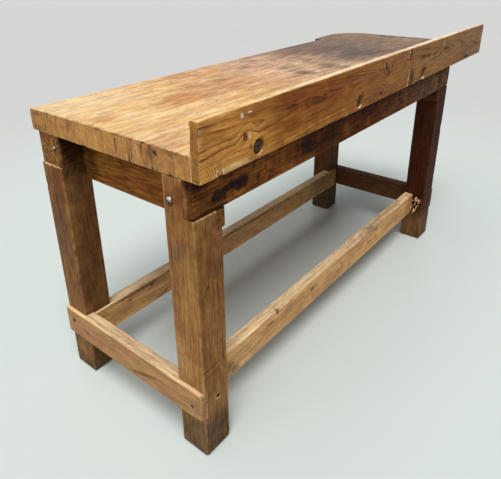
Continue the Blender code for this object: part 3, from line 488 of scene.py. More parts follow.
class BenchTones(bpy.types.PropertyGroup):
    """Colours of the bench's timber and steel"""

    top_1: tone("Top at near end", "Clean planed pine", "#F0C283")
    top_2: tone("Top by the first leg", "Handled pine, gone orange", "#DAA468")
    top_3: tone("Top in the middle", "Rubbed pine, gone pink", "#D3A887")
    top_4: tone("Top past the middle", "Dull brown pine", "#B69576")
    top_5: tone("Top by the far leg", "Stained purple grey pine", "#7E6656")
    top_6: tone("Top at far end", "Weathered olive brown pine", "#8D7258")
    top_glow: tone("Top's clean streaks", "Streaks planed back to clean wood", "#FBE3B4")
    top_pink: tone("Top's pink patches", "Patches rubbed pink", "#B98060")
    top_end: tone("Top's end grain", "Golden end grain of the staves", "#C08A45")
    top_end_dark: tone("Top's darker end grain", "Handled end grain of the staves", "#9A6A35")
    top_under: tone("Top's underside", "Unplaned pine under the top", "#7A5431")
    fence_1: tone("Fence at near end", "Golden handled pine", "#D29246")
    fence_2: tone("Fence by the first bolt", "Red brown pine", "#9A5A1E")
    fence_3: tone("Fence in the middle", "Brown pine", "#A0682F")
    fence_4: tone("Fence at far end", "Dusty grey brown pine", "#906A45")
    fence_red: tone("Fence's oiled patch", "Where hands have oiled it red", "#7C3C0C")
    # The crest tones are rubbed wood with a painted highlight, brighter than the wood, standing for gloss
    # from above
    fence_crest_sheen_1: tone("Fence's near crest", "Rubbed golden upper edge", "#F9D191")
    fence_crest_sheen_2: tone("Fence's middle crest", "Rubbed straw upper edge", "#FCE3BA")
    fence_crest_sheen_3: tone("Fence's far crest", "Rubbed cream upper edge", "#FFEBD6")
    fence_end: tone("Fence's end grain", "Handled end grain of the fence", "#A27036")
    leg: tone("Legs", "Brown handled pine", "#9C6F40")
    leg_dark: tone("Darkest leg", "Red brown pine of the darkest leg", "#412012")
    leg_red: tone("Legs' red patches", "Where the legs have gone red", "#73421F")
    foot: tone("Feet", "Grey scuffed wood at the floor", "#4F3F2F")
    rail: tone("Rails", "Brown pine under the top", "#8A5928")
    rail_end: tone("Rails' end grain", "Dark end grain of the rails", "#80542A")
    apron_1: tone("Apron at near end", "Brown pine with old spills", "#854E20")
    apron_2: tone("Apron in the middle", "Dark brown pine", "#572B0F")
    apron_3: tone("Apron at far end", "Dusty dark pine", "#6A4B31")
    stretcher: tone("Stretchers", "Pale newer pine", "#D7A46A")
    stretcher_shade: tone("Darkest stretcher", "Newer pine in the shade", "#5E3A1E")
    stretcher_top_highlight: tone("Stretchers' tops", "Rubbed upper faces", "#FCDDAE")
    latewood: tone("Latewood", "Dark line of each year's growth", "#5E3415")
    stain_purple: tone("Purple stain", "Old spill, purple brown", "#2A1518")
    stain_grey: tone("Grey stain", "Iron stain, grey", "#4C4648")
    stain_brown: tone("Brown stain", "Spilt varnish, purple brown", "#6C4A3C")
    stain_orange: tone("Orange stain", "Warm patch of oil", "#BC7238")
    # Grime is also painted shade: beneath the top on the rails and the near back leg, in the ear's step,
    # and in the fence's bores
    grime: tone("Grime", "Dirt in cracks and at the feet", "#1E120A")
    worn: tone("Worn arris", "Wood rubbed pale on an arris", "#E2BA84")
    knot: tone("Knot", "Heart of a knot", "#5A2A0C")
    # Paint also gives the painted highlight on the lower lip of a fence bore
    paint: tone("Paint", "Splash of old white paint", "#F7EBD6")
    # Bright steel is bare steel, which also shows in the painted highlight on the fixings' heads
    bright_steel: tone("Bright steel", "Rubbed steel", "#DAD4C8")
    rust: tone("Rust", "Thin rust", "#45311F")
    dark_steel: tone("Dark steel", "Oil-blackened steel", "#3A322B")
    beech: tone("Beech", "Dowel wood", "#C79F6E")


class BenchWear(bpy.types.PropertyGroup):
    """How far the bench's timbers have worn"""

    pitch: length("Mesh pitch", "Spacing of the cuts along a timber", 0.011)
    arris: length("Arris wear", "Usual rounding of an arris", 0.0022)
    arris_swing: length("Arris swing", "How far that rounding varies", 0.0016)
    chip: length("Chip", "Depth of the largest chips off an arris", 0.006)
    hollow: length("Hollow", "Depth of the slow hollows in a face", 0.0005)
    dent: length("Dent", "Depth of the deepest dents in the top", 0.0014)


class BenchStage(bpy.types.PropertyGroup):
    """Floor, light and camera"""

    floor: tone("Floor", "Pale smooth floor", "#D9E2DE")
    backdrop: tone("Backdrop", "Pale grey that the floor fades into", "#D2D2D1")
    key: brightness("Key", "Soft light from above the near corner", 2.05)
    over: brightness("Overhead", "Soft light from almost straight above", 0.35)
    fill: brightness("Fill", "Soft light from the near end", 0.85)
    sky: brightness("Sky", "Even light all round", 0.14)
    lens: FloatProperty(name="Lens", description="Focal length", default=36.33, min=1.0, unit='CAMERA')


def add_node(tree, kind, inputs=None, output=0, stops=(), **settings):
    """Add a node with its settings, set or link its inputs, and give back one output, or the node."""
    node = tree.nodes.new(kind)
    for name, value in settings.items():
        setattr(node, name, value)
    for i, (position, colour) in enumerate(stops):
        stop = node.color_ramp.elements[0] if i == 0 else node.color_ramp.elements.new(position)
        stop.position = position
        stop.color = colour
    if stops:
        node.color_ramp.elements.remove(node.color_ramp.elements[-1])
    for socket, value in (inputs or {}).items():
        if isinstance(value, bpy.types.NodeSocket):
            tree.links.new(value, node.inputs[socket])
        else:
            node.inputs[socket].default_value = value
    return node if output is None else node.outputs[output]


def empty_material(name):
    """A new material without nodes, and its node tree."""
    material = bpy.data.materials.new(name)
    material.use_nodes = True
    material.node_tree.nodes.clear()
    return material, material.node_tree


def drawn_noise(tree, vector, across, along, detail=2.0):
    """Noise drawn out along the grain, from its width and its length in mm."""
    scale = (1 / (across * MM), 1 / (across * MM), 1 / (along * MM))
    stretched = add_node(tree, VECTOR_MATH, {0: vector, 1: scale}, operation='MULTIPLY')
    return add_node(tree, NOISE, {"Vector": stretched, "Scale": 1.0, "Detail": detail, "Roughness": 0.55})


def pine_figure():
    """Figure of pine about its heart, shared by every timber.

    Growth rings darken slowly and end sharply, as latewood does. No two years are as wide or
    as dark, and the rings fade in places. Fibres are drawn 3 mm wide, ten times their real
    width, so that they show.
    """
    group = bpy.data.node_groups.new("pine_figure", 'ShaderNodeTree')
    group.interface.new_socket(name="Grain", in_out='INPUT', socket_type='NodeSocketVector')
    for name in ("Ring gap", "Lean", "Swell", "Wander"):
        group.interface.new_socket(name=name, in_out='INPUT', socket_type='NodeSocketFloat')
    given = group.nodes.new('NodeGroupInput').outputs
    grain = given["Grain"]
    flat = add_node(group, VECTOR_MATH, {0: grain, 1: (1.0, 1.0, 0.0)}, operation='MULTIPLY')
    radius = add_node(group, VECTOR_MATH, {0: flat}, "Value", operation='LENGTH')
    bend = drawn_noise(group, grain, 190, 800)
    ripple = drawn_noise(group, grain, 32, 170)
    rippled = add_node(group, MATH, {0: ripple, 1: 0.22, 2: bend}, operation='MULTIPLY_ADD')
    bent = add_node(group, MATH, {0: rippled, 1: given["Wander"], 2: radius}, operation='MULTIPLY_ADD')
    along = add_node(group, SPLIT, {0: grain}, "Z")
    leaning = add_node(group, MATH, {0: along, 1: given["Lean"], 2: bent}, operation='MULTIPLY_ADD')
    swollen = add_node(group, MATH, {0: leaning, 1: given["Swell"]}, operation='ADD')
    even = add_node(group, MATH, {0: swollen, 1: given["Ring gap"]}, operation='DIVIDE')
    weather = add_node(group, NOISE, {"W": even, "Scale": 0.4, "Detail": 1.0}, noise_dimensions='1D')
    years = add_node(group, MATH, {0: weather, 1: 1.6, 2: even}, operation='MULTIPLY_ADD')
    within = add_node(group, MATH, {0: years}, operation='FRACT')
    darken = add_node(group, MATH, {0: within, 1: 3.2}, operation='POWER')
    stop = add_node(
        group, MAP_RANGE, {"Value": within, "From Min": 1.0, "From Max": 0.90},
        interpolation_type='SMOOTHSTEP')
    band = add_node(group, MATH, {0: darken, 1: stop}, operation='MULTIPLY')
    year = add_node(group, MATH, {0: years}, operation='FLOOR')
    chance = add_node(group, "ShaderNodeTexWhiteNoise", {"W": year}, noise_dimensions='1D')
    growth = add_node(group, MATH, {0: chance, 1: 1.15, 2: 0.25}, operation='MULTIPLY_ADD')
    ring = add_node(group, MATH, {0: band, 1: growth}, operation='MULTIPLY')
    fade = drawn_noise(group, grain, 45, 200)
    faded = add_node(
        group, MAP_RANGE,
        {"Value": fade, "From Min": 0.35, "From Max": 0.65, "To Min": 0.3, "To Max": 1.3})
    crack = drawn_noise(group, grain, 38, 700, 1.0)
    off_middle = add_node(group, MATH, {0: crack, 1: 0.5}, operation='SUBTRACT')
    apart = add_node(group, MATH, {0: off_middle}, operation='ABSOLUTE')
    line = add_node(group, MAP_RANGE, {"Value": apart, "From Min": 0.010, "From Max": 0.002})
    gate = drawn_noise(group, grain, 120, 260, 1.0)
    open_here = add_node(group, MAP_RANGE, {"Value": gate, "From Min": 0.54, "From Max": 0.62})
    dots = drawn_noise(group, grain, 5, 11, 1.0)
    made = {
        "Ring": add_node(group, MATH, {0: ring, 1: faded}, operation='MULTIPLY'),
        "Check": add_node(group, MATH, {0: line, 1: open_here}, operation='MULTIPLY'),
        "Speck": add_node(group, MAP_RANGE, {"Value": dots, "From Min": 0.68, "From Max": 0.78}),
    }
    for name, across, length_along, detail in (
            ("Fibre", 3, 70, 3.0), ("Streak", 13, 520, 3.0), ("Patch", 70, 240, 4.0),
            ("Blotch", 26, 50, 5.0), ("Mottle", 8, 15, 5.0)):
        wave = drawn_noise(group, grain, across, length_along, detail)
        made[name] = add_node(group, MAP_RANGE, {"Value": wave, "From Min": 0.28, "From Max": 0.72})
    out = group.nodes.new('NodeGroupOutput')
    for name, socket in made.items():
        group.interface.new_socket(name=name, in_out='OUTPUT', socket_type='NodeSocketFloat')
        group.links.new(socket, out.inputs[name])
    return group


def start_pine(name, tones):
    """An empty timber material with what every timber reads from its mesh."""
    material, tree = empty_material(name)
    place = add_node(tree, COORDINATES, output="Object")
    datum = add_node(tree, VECTOR_MATH, {0: place, 1: DATUM}, operation='SUBTRACT')
    read = {}
    for field in ("arris", "chip", "pit", "end", "tone"):
        read[field] = add_node(tree, ATTRIBUTE, output="Fac", attribute_name=field)
    read["grain"] = add_node(tree, ATTRIBUTE, output="Vector", attribute_name="grain")
    ragged = add_node(tree, NOISE, {"Vector": datum, "Scale": 1 / (28 * MM), "Detail": 4.0})
    frayed = add_node(tree, NOISE, {"Vector": datum, "Scale": 1 / (8 * MM), "Detail": 3.0})
    return SimpleNamespace(
        material=material, tree=tree, tones=tones, place=datum, ragged=ragged, frayed=frayed, **read)


def rings(wood, gap, lean, swell=0.0, wander=0.060):
    """Bring the shared figure into a timber material."""
    group = bpy.data.node_groups.get("pine_figure") or pine_figure()
    node = add_node(
        wood.tree, GROUP,
        {"Grain": wood.grain, "Ring gap": gap * MM, "Lean": lean, "Swell": swell, "Wander": wander},
        None, node_tree=group)
    wood.figure = {socket.name: socket for socket in node.outputs}


def distance_from(wood, middle, reach, slope=0.0):
    """How many of its own reaches a point lies from a place on a timber, both given in mm."""
    tree = wood.tree
    offset = add_node(tree, VECTOR_MATH, {0: wood.place, 1: [v * MM for v in middle]}, operation='SUBTRACT')
    if slope:
        rise = add_node(
            tree, VECTOR_MATH, {0: offset, 1: (slope, slope, 0.0)}, "Value", operation='DOT_PRODUCT')
        lift = add_node(tree, "ShaderNodeCombineXYZ", {"Z": rise})
        offset = add_node(tree, VECTOR_MATH, {0: offset, 1: lift}, operation='SUBTRACT')
    scaled = add_node(tree, VECTOR_MATH, {0: offset, 1: [v * MM for v in reach]}, operation='DIVIDE')
    return add_node(tree, VECTOR_MATH, {0: scaled}, "Value", operation='LENGTH')


def oval(wood, mark, blur=0.55):
    """Mask of a mark, 1 in its middle, with a ragged rim, a finer one on a small mark."""
    distance = distance_from(wood, mark.middle, mark.reach, mark.slope)
    rim = wood.frayed if sorted(mark.reach)[1] < SMALL_MARK else wood.ragged
    ragged = add_node(wood.tree, MATH, {0: rim, 1: RIM_RAGGED, 2: distance}, operation='MULTIPLY_ADD')
    outer = 1.0 + RIM_RAGGED / 2
    return add_node(
        wood.tree, MAP_RANGE, {"Value": ragged, "From Min": outer, "From Max": outer - blur},
        interpolation_type='SMOOTHSTEP')


def lay_marks(wood, colour, marks, blur=0.55):
    """Lay stains and splashes over a colour."""
    for mark in marks:
        mask = oval(wood, mark, blur)
        amount = add_node(wood.tree, MATH, {0: mask, 1: mark.strength}, operation='MULTIPLY')
        laid = getattr(wood.tones, mark.tone)
        colour = add_node(wood.tree, MIX, {0: amount, 6: colour, 7: laid}, 2, data_type='RGBA')
    return colour


def knots(wood, places):
    """Knots through a board: the swelling of the rings about them, and the mask of their hearts."""
    swell, heart = 0.0, 0.0
    for knot in places:
        along, up = knot.reach
        distance = distance_from(wood, knot.middle, (along, THROUGH, up))
        near = add_node(
            wood.tree, MAP_RANGE,
            {"Value": distance, "From Min": 4.5, "From Max": 0.0, "To Max": knot.push * MM})
        inside = add_node(
            wood.tree, MAP_RANGE, {"Value": distance, "From Min": 1.25, "From Max": 0.65},
            interpolation_type='SMOOTHSTEP')
        swell = add_node(wood.tree, MATH, {0: near, 1: swell}, operation='ADD')
        heart = add_node(wood.tree, MATH, {0: inside, 1: heart}, operation='MAXIMUM')
    return swell, heart


def knot_arcs(wood, mark, count):
    """Thin dark arcs about a knot, as close and as dark as the mark says, fading outwards."""
    tree = wood.tree
    distance = distance_from(wood, mark.middle, mark.reach)
    rippled = add_node(tree, MATH, {0: wood.ragged, 1: 0.26, 2: distance}, operation='MULTIPLY_ADD')
    turns = add_node(tree, MATH, {0: rippled, 1: count}, operation='MULTIPLY')
    within = add_node(tree, MATH, {0: turns}, operation='FRACT')
    rise = add_node(tree, MAP_RANGE, {"Value": within, "From Min": 0.40, "From Max": 0.72})
    fall = add_node(tree, MAP_RANGE, {"Value": within, "From Min": 1.0, "From Max": 0.80})
    line = add_node(tree, MATH, {0: rise, 1: fall}, operation='MULTIPLY')
    fade = add_node(
        tree, MAP_RANGE, {"Value": distance, "From Min": 1.0, "From Max": 0.7, "To Max": mark.strength},
        interpolation_type='SMOOTHSTEP')
    return add_node(tree, MATH, {0: line, 1: fade}, operation='MULTIPLY')


def facing(wood, low, high, most=1.0, way=(0.0, 0.0, 1.0)):
    """Mask of the faces that look a certain way, between two shares of it."""
    normal = add_node(wood.tree, GEOMETRY, output="Normal")
    share = add_node(wood.tree, VECTOR_MATH, {0: normal, 1: way}, "Value", operation='DOT_PRODUCT')
    return add_node(
        wood.tree, MAP_RANGE, {"Value": share, "From Min": low, "From Max": high, "To Max": most})


def finish_pine(
        wood, colour, ring=0.5, streak=0.25, fibre=0.2, patch=0.2, mottle=0.2, edge=0.4, dirt=0.6,
        speck=0.35, gloss=0.6, glint=0.2, relief=0.5, grit=1.0, grit_size=(6, 70)):
    """Lay the figure over a timber's colour, then its wear and dirt, and make its surface.

    Patches of the wood also drift a little between red and yellow. End grain is streaked
    up and down, as a saw leaves it. Grit is the grain's open pores and trapped dust, which are
    under 1 mm wide and are drawn as coarse as they need to show.
    """
    tree, figure, tones = wood.tree, wood.figure, wood.tones
    late = add_node(tree, MATH, {0: figure["Ring"], 1: ring}, operation='MULTIPLY', use_clamp=True)
    colour = add_node(
        tree, MIX, {0: late, 6: colour, 7: tones.latewood}, 2, data_type='RGBA', blend_type='MULTIPLY')
    value = 1.0 - (streak + fibre + patch) / 2
    for name, weight in (("Streak", streak), ("Fibre", fibre), ("Patch", patch)):
        value = add_node(tree, MATH, {0: figure[name], 1: weight, 2: value}, operation='MULTIPLY_ADD')
    saw = drawn_noise(tree, wood.place, 8, 60, 4.0)
    sawn = add_node(
        tree, MAP_RANGE, {"Value": saw, "From Min": 0.3, "From Max": 0.7, "To Min": 0.66, "To Max": 1.27})
    value = add_node(tree, MIX, {0: wood.end, 2: value, 3: sawn}, 0, data_type='FLOAT')
    value = add_node(tree, MATH, {0: figure["Mottle"], 1: mottle, 2: value}, operation='MULTIPLY_ADD')
    value = add_node(tree, MATH, {0: figure["Blotch"], 1: mottle, 2: value}, operation='MULTIPLY_ADD')
    value = add_node(tree, MATH, {0: value, 1: mottle}, operation='SUBTRACT')
    pores = drawn_noise(tree, wood.grain, *grit_size)
    uneven = add_node(tree, MATH, {0: pores, 1: 0.5}, operation='SUBTRACT')
    value = add_node(tree, MATH, {0: uneven, 1: grit, 2: value}, operation='MULTIPLY_ADD')
    value = add_node(tree, MATH, {0: value, 1: 0.2}, operation='MAXIMUM')
    drift = add_node(
        tree, MATH, {0: figure["Blotch"], 1: 0.8, 2: figure["Patch"]}, operation='MULTIPLY_ADD')
    hue = add_node(tree, MATH, {0: drift, 1: 0.018, 2: 0.4830}, operation='MULTIPLY_ADD')
    colour = add_node(tree, HUE_AND_VALUE, {"Hue": hue, "Value": value, "Color": colour})
    rub = add_node(
        tree, MAP_RANGE, {"Value": wood.ragged, "From Min": 0.35, "From Max": 0.65, "To Max": edge})
    pale = add_node(tree, MATH, {0: wood.tone, 1: -0.8, 2: 1.0}, operation='MULTIPLY_ADD')
    bare = add_node(tree, MATH, {0: rub, 1: pale}, operation='MULTIPLY')
    rubbed = add_node(tree, MATH, {0: wood.arris, 1: bare}, operation='MULTIPLY')
    colour = add_node(tree, MIX, {0: rubbed, 6: colour, 7: tones.worn}, 2, data_type='RGBA')
    hollow = add_node(tree, MATH, {0: wood.chip, 1: 0.75}, operation='MULTIPLY')
    dirty = add_node(
        tree, MATH, {0: wood.pit, 1: 0.92, 2: hollow}, operation='MULTIPLY_ADD', use_clamp=True)
    for name, weight in (("Check", dirt), ("Speck", speck)):
        spoilt = add_node(tree, MATH, {0: figure[name], 1: weight}, operation='MULTIPLY')
        dirty = add_node(tree, MATH, {0: dirty, 1: spoilt}, operation='MAXIMUM')
    colour = add_node(tree, MIX, {0: dirty, 6: colour, 7: tones.grime}, 2, data_type='RGBA')
    raised = add_node(tree, MATH, {0: figure["Ring"], 1: 0.4, 2: figure["Fibre"]}, operation='MULTIPLY_ADD')
    height = add_node(tree, MATH, {0: dirty, 1: -1.2, 2: raised}, operation='MULTIPLY_ADD')
    bump = add_node(tree, BUMP, {"Strength": relief, "Distance": 0.0007, "Height": height})
    dull = add_node(
        tree, MAP_RANGE, {"Value": figure["Streak"], "To Min": gloss - 0.08, "To Max": gloss + 0.12})
    surface = add_node(
        tree, PRINCIPLED,
        {"Base Color": colour, "Roughness": dull, "Specular IOR Level": glint, "Normal": bump})
    add_node(tree, OUTPUT, {"Surface": surface}, None)
    return wood.material


def ramp_along(wood, reach, stops):
    """Colour that changes along the bench by named tones, with a wandering, streaky edge."""
    x = add_node(wood.tree, SPLIT, {0: wood.place}, "X")
    wander = drawn_noise(wood.tree, wood.grain, 60, 260, 3.0)
    drift = add_node(wood.tree, MATH, {0: wander, 1: 0.5}, operation='SUBTRACT')
    moved = add_node(wood.tree, MATH, {0: drift, 1: 0.45, 2: x}, operation='MULTIPLY_ADD')
    share = add_node(wood.tree, MATH, {0: moved, 1: reach}, operation='DIVIDE')
    named = [(position, getattr(wood.tones, tone_name)) for position, tone_name in stops]
    return add_node(wood.tree, RAMP, {"Fac": share}, stops=named)


def planed_pine_top(tones):
    """Pine planed flat, then worked on for years.

    Clean and golden at the near end, rubbed pink in the middle, and stained grey by oil and
    iron towards the far end. Streaks and the edges of stains run with the staves.
    """
    wood = start_pine("pine_planed_and_stained_top", tones)
    rings(wood, gap=6.0, lean=0.006)
    rough_rims = wood.ragged
    wood.ragged = drawn_noise(wood.tree, wood.grain, 20, 110, 6.0)
    colour = ramp_along(wood, TOP_LENGTH, [
        (0.00, "top_1"), (0.19, "top_1"), (0.28, "top_2"),
        (0.44, "top_3"), (0.58, "top_4"), (0.70, "top_5"),
        (0.82, "top_5"), (0.92, "top_6")])
    clean = add_node(
        wood.tree, MAP_RANGE, {"Value": wood.ragged, "From Min": 0.48, "From Max": 0.66, "To Max": 0.7})
    x = add_node(wood.tree, SPLIT, {0: wood.place}, "X")
    near = add_node(wood.tree, MAP_RANGE, {"Value": x, "From Min": 1.1, "From Max": 0.1})
    streaks = add_node(wood.tree, MATH, {0: clean, 1: near}, operation='MULTIPLY')
    colour = add_node(wood.tree, MIX, {0: streaks, 6: colour, 7: tones.top_glow}, 2, data_type='RGBA')
    colour = lay_marks(wood, colour, TOP_STAINS, blur=0.8)
    clouds = drawn_noise(wood.tree, wood.grain, 28, 80, 5.0)
    worked = add_node(wood.tree, MAP_RANGE, {"Value": x, "From Min": 0.3, "From Max": 0.8, "To Max": 1.3})
    uneven = add_node(wood.tree, MATH, {0: clouds, 1: 0.5}, operation='SUBTRACT')
    soiled = add_node(wood.tree, MATH, {0: uneven, 1: worked, 2: 1.0}, operation='MULTIPLY_ADD')
    colour = add_node(wood.tree, HUE_AND_VALUE, {"Value": soiled, "Color": colour})
    beyond = add_node(
        wood.tree, MAP_RANGE, {"Value": x, "From Min": 1.40, "From Max": 1.47, "To Max": 0.75})
    rim = add_node(wood.tree, MATH, {0: wood.arris, 1: beyond}, operation='MULTIPLY')
    colour = add_node(wood.tree, MIX, {0: rim, 6: colour, 7: tones.grime}, 2, data_type='RGBA')
    under = facing(wood, -0.3, -0.7)
    colour = add_node(wood.tree, MIX, {0: under, 6: colour, 7: tones.top_under}, 2, data_type='RGBA')
    ends = add_node(
        wood.tree, MIX, {0: wood.tone, 6: tones.top_end, 7: tones.top_end_dark}, 2, data_type='RGBA')
    colour = add_node(wood.tree, MIX, {0: wood.end, 6: colour, 7: ends}, 2, data_type='RGBA')
    wood.ragged = rough_rims
    colour = lay_marks(wood, colour, TOP_END_MARKS)
    rough = add_node(
        wood.tree, MAP_RANGE, {"Value": x, "From Min": 0.2, "From Max": 1.1, "To Min": 0.9, "To Max": 2.6})
    return finish_pine(
        wood, colour, ring=0.36, streak=0.20, fibre=0.22, patch=0.16, mottle=0.30, edge=0.25,
        gloss=0.58, glint=0.3, grit=rough, grit_size=(9, 85))


def oiled_pine_fence(tones):
    """A flat-sawn pine board, oiled by hands.

    Dark latewood in long points, with knots that push the lines apart. Golden at the near end,
    red brown where it is handled, and dusty brown past the middle.
    """
    wood = start_pine("pine_flat_sawn_and_oiled_fence", tones)
    swell, heart = knots(wood, FENCE_KNOTS)
    rings(wood, gap=6.5, lean=0.040, swell=swell, wander=0.030)
    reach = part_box("front_fence")[1].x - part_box("front_fence")[0].x
    colour = ramp_along(wood, reach, [
        (0.00, "fence_1"), (0.07, "fence_1"), (0.17, "fence_2"),
        (0.28, "fence_2"), (0.45, "fence_3"), (0.95, "fence_4")])
    dark = add_node(wood.tree, MATH, {0: heart, 1: 0.35}, operation='MULTIPLY')
    for mark, count in FENCE_ARCS:
        dark = add_node(wood.tree, MATH, {0: dark, 1: knot_arcs(wood, mark, count)}, operation='MAXIMUM')
    colour = add_node(wood.tree, MIX, {0: dark, 6: colour, 7: tones.knot}, 2, data_type='RGBA')
    colour = lay_marks(wood, colour, FENCE_FIGURE, blur=0.9)
    colour = lay_marks(wood, colour, FENCE_BORES, blur=0.6)
    colour = lay_marks(wood, colour, FENCE_SPOTS, blur=0.4)
    height = add_node(wood.tree, SPLIT, {0: wood.place}, "Z")
    turns = add_node(wood.tree, MATH, {0: height, 1: math.tau / (TICK_GAP * MM)}, operation='MULTIPLY')
    wave = add_node(wood.tree, MATH, {0: turns}, operation='SINE')
    ticks = add_node(
        wood.tree, MAP_RANGE, {"Value": wave, "From Min": 0.1, "From Max": 0.7, "To Max": 0.75})
    strip = oval(wood, FENCE_TICKS, blur=0.4)
    ticked = add_node(wood.tree, MATH, {0: strip, 1: ticks}, operation='MULTIPLY')
    colour = add_node(wood.tree, MIX, {0: ticked, 6: colour, 7: tones.worn}, 2, data_type='RGBA')
    colour = add_node(wood.tree, MIX, {0: wood.end, 6: colour, 7: tones.fence_end}, 2, data_type='RGBA')
    # The crest's upward face gets rubbed wood with a painted highlight
    crest = facing(wood, 0.55, 0.80, 0.9, way=(0.0, 0.5, 0.87))
    rubbed = ramp_along(wood, reach, [
        (0.00, "fence_crest_sheen_1"), (0.10, "fence_crest_sheen_1"),
        (0.24, "fence_crest_sheen_2"), (0.60, "fence_crest_sheen_2"), (0.85, "fence_crest_sheen_3")])
    colour = add_node(wood.tree, MIX, {0: crest, 6: colour, 7: rubbed}, 2, data_type='RGBA')
    plain = add_node(wood.tree, MATH, {0: crest, 1: wood.end}, operation='MAXIMUM')
    figured = add_node(wood.tree, MATH, {0: plain, 1: -0.75, 2: 0.95}, operation='MULTIPLY_ADD')
    cracked = add_node(wood.tree, MATH, {0: plain, 1: -0.55, 2: 0.6}, operation='MULTIPLY_ADD')
    return finish_pine(
        wood, colour, ring=figured, streak=0.20, fibre=0.20, patch=0.20, mottle=0.28, edge=0.30,
        dirt=cracked, gloss=0.52, glint=0.08, grit=1.35, grit_size=(6, 70))


def handled_pine_legs(tones):
    """Square pine posts, brown with age and handling.

    Straight grain up the post, grey grime and scuffs at the foot, and each leg its own brown.
    """
    wood = start_pine("pine_sawn_and_handled_legs", tones)
    rings(wood, gap=5.0, lean=0.004)
    colour = add_node(
        wood.tree, MIX, {0: wood.tone, 6: tones.leg, 7: tones.leg_dark}, 2, data_type='RGBA')
    height = add_node(wood.tree, SPLIT, {0: wood.place}, "Z")
    low = add_node(
        wood.tree, MAP_RANGE, {"Value": height, "From Min": 0.165, "From Max": 0.085},
        interpolation_type='SMOOTHSTEP')
    blotch = add_node(
        wood.tree, MAP_RANGE,
        {"Value": wood.ragged, "From Min": 0.35, "From Max": 0.65, "To Min": 0.60, "To Max": 0.90})
    scuffed = add_node(wood.tree, MATH, {0: low, 1: blotch}, operation='MULTIPLY')
    colour = add_node(wood.tree, MIX, {0: scuffed, 6: colour, 7: tones.foot}, 2, data_type='RGBA')
    colour = lay_marks(wood, colour, LEG_PATCHES, blur=1.0)
    colour = lay_marks(wood, colour, LEG_SPOTS, blur=0.5)
    return finish_pine(
        wood, colour, ring=0.44, streak=0.26, fibre=0.30, patch=0.24, mottle=0.32, edge=0.35, glint=0.05,
        grit=1.3, grit_size=(6, 70))


def stained_pine_rails(tones):
    """Pine rails in the shade of the top, with painted shade along their upper parts, the front one dark
    with old spills.
    """
    wood = start_pine("pine_sawn_and_stained_rails", tones)
    rings(wood, gap=6.0, lean=0.010)
    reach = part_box("front_apron")[1].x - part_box("front_apron")[0].x
    apron = ramp_along(wood, reach, [
        (0.00, "apron_1"), (0.20, "apron_1"), (0.32, "apron_2"),
        (0.55, "apron_2"), (0.85, "apron_3")])
    colour = add_node(wood.tree, MIX, {0: wood.tone, 6: tones.rail, 7: apron}, 2, data_type='RGBA')
    ends = add_node(
        wood.tree, MIX, {0: wood.tone, 6: tones.rail_end, 7: tones.apron_2}, 2, data_type='RGBA')
    colour = add_node(wood.tree, MIX, {0: wood.end, 6: colour, 7: ends}, 2, data_type='RGBA')
    colour = lay_marks(wood, colour, RAIL_PATCHES, blur=0.9)
    drips = drawn_noise(wood.tree, wood.place, 26, 150, 5.0)
    run = add_node(
        wood.tree, MAP_RANGE,
        {"Value": drips, "From Min": 0.32, "From Max": 0.68, "To Min": 0.75, "To Max": 1.30})
    front = add_node(wood.tree, MATH, {0: wood.tone, 1: 0.5}, operation='GREATER_THAN')
    ran = add_node(wood.tree, MIX, {0: front, 2: 1.0, 3: run}, 0, data_type='FLOAT')
    colour = add_node(wood.tree, HUE_AND_VALUE, {"Value": ran, "Color": colour})
    colour = lay_marks(wood, colour, RAIL_SPOTS, blur=0.5)
    # Painted shade: a band along the rails' upper parts, darkest just beneath the top, with a wavy lower
    # edge, kept off the end grain
    height = add_node(wood.tree, SPLIT, {0: wood.place}, "Z")
    wavy = add_node(wood.tree, MATH, {0: wood.ragged, 1: 0.035, 2: height}, operation='MULTIPLY_ADD')
    shaded = add_node(
        wood.tree, MAP_RANGE, {"Value": wavy, "From Min": 0.768, "From Max": 0.794, "To Max": 0.85},
        interpolation_type='SMOOTHSTEP')
    beside = add_node(wood.tree, MATH, {0: 1.0, 1: wood.end}, operation='SUBTRACT')
    shaded = add_node(wood.tree, MATH, {0: shaded, 1: beside}, operation='MULTIPLY')
    colour = add_node(wood.tree, MIX, {0: shaded, 6: colour, 7: tones.grime}, 2, data_type='RGBA')
    return finish_pine(
        wood, colour, ring=0.45, streak=0.34, fibre=0.26, patch=0.36, mottle=0.36, edge=0.15,
        gloss=0.62, glint=0.03, grit=2.4, grit_size=(7, 45))


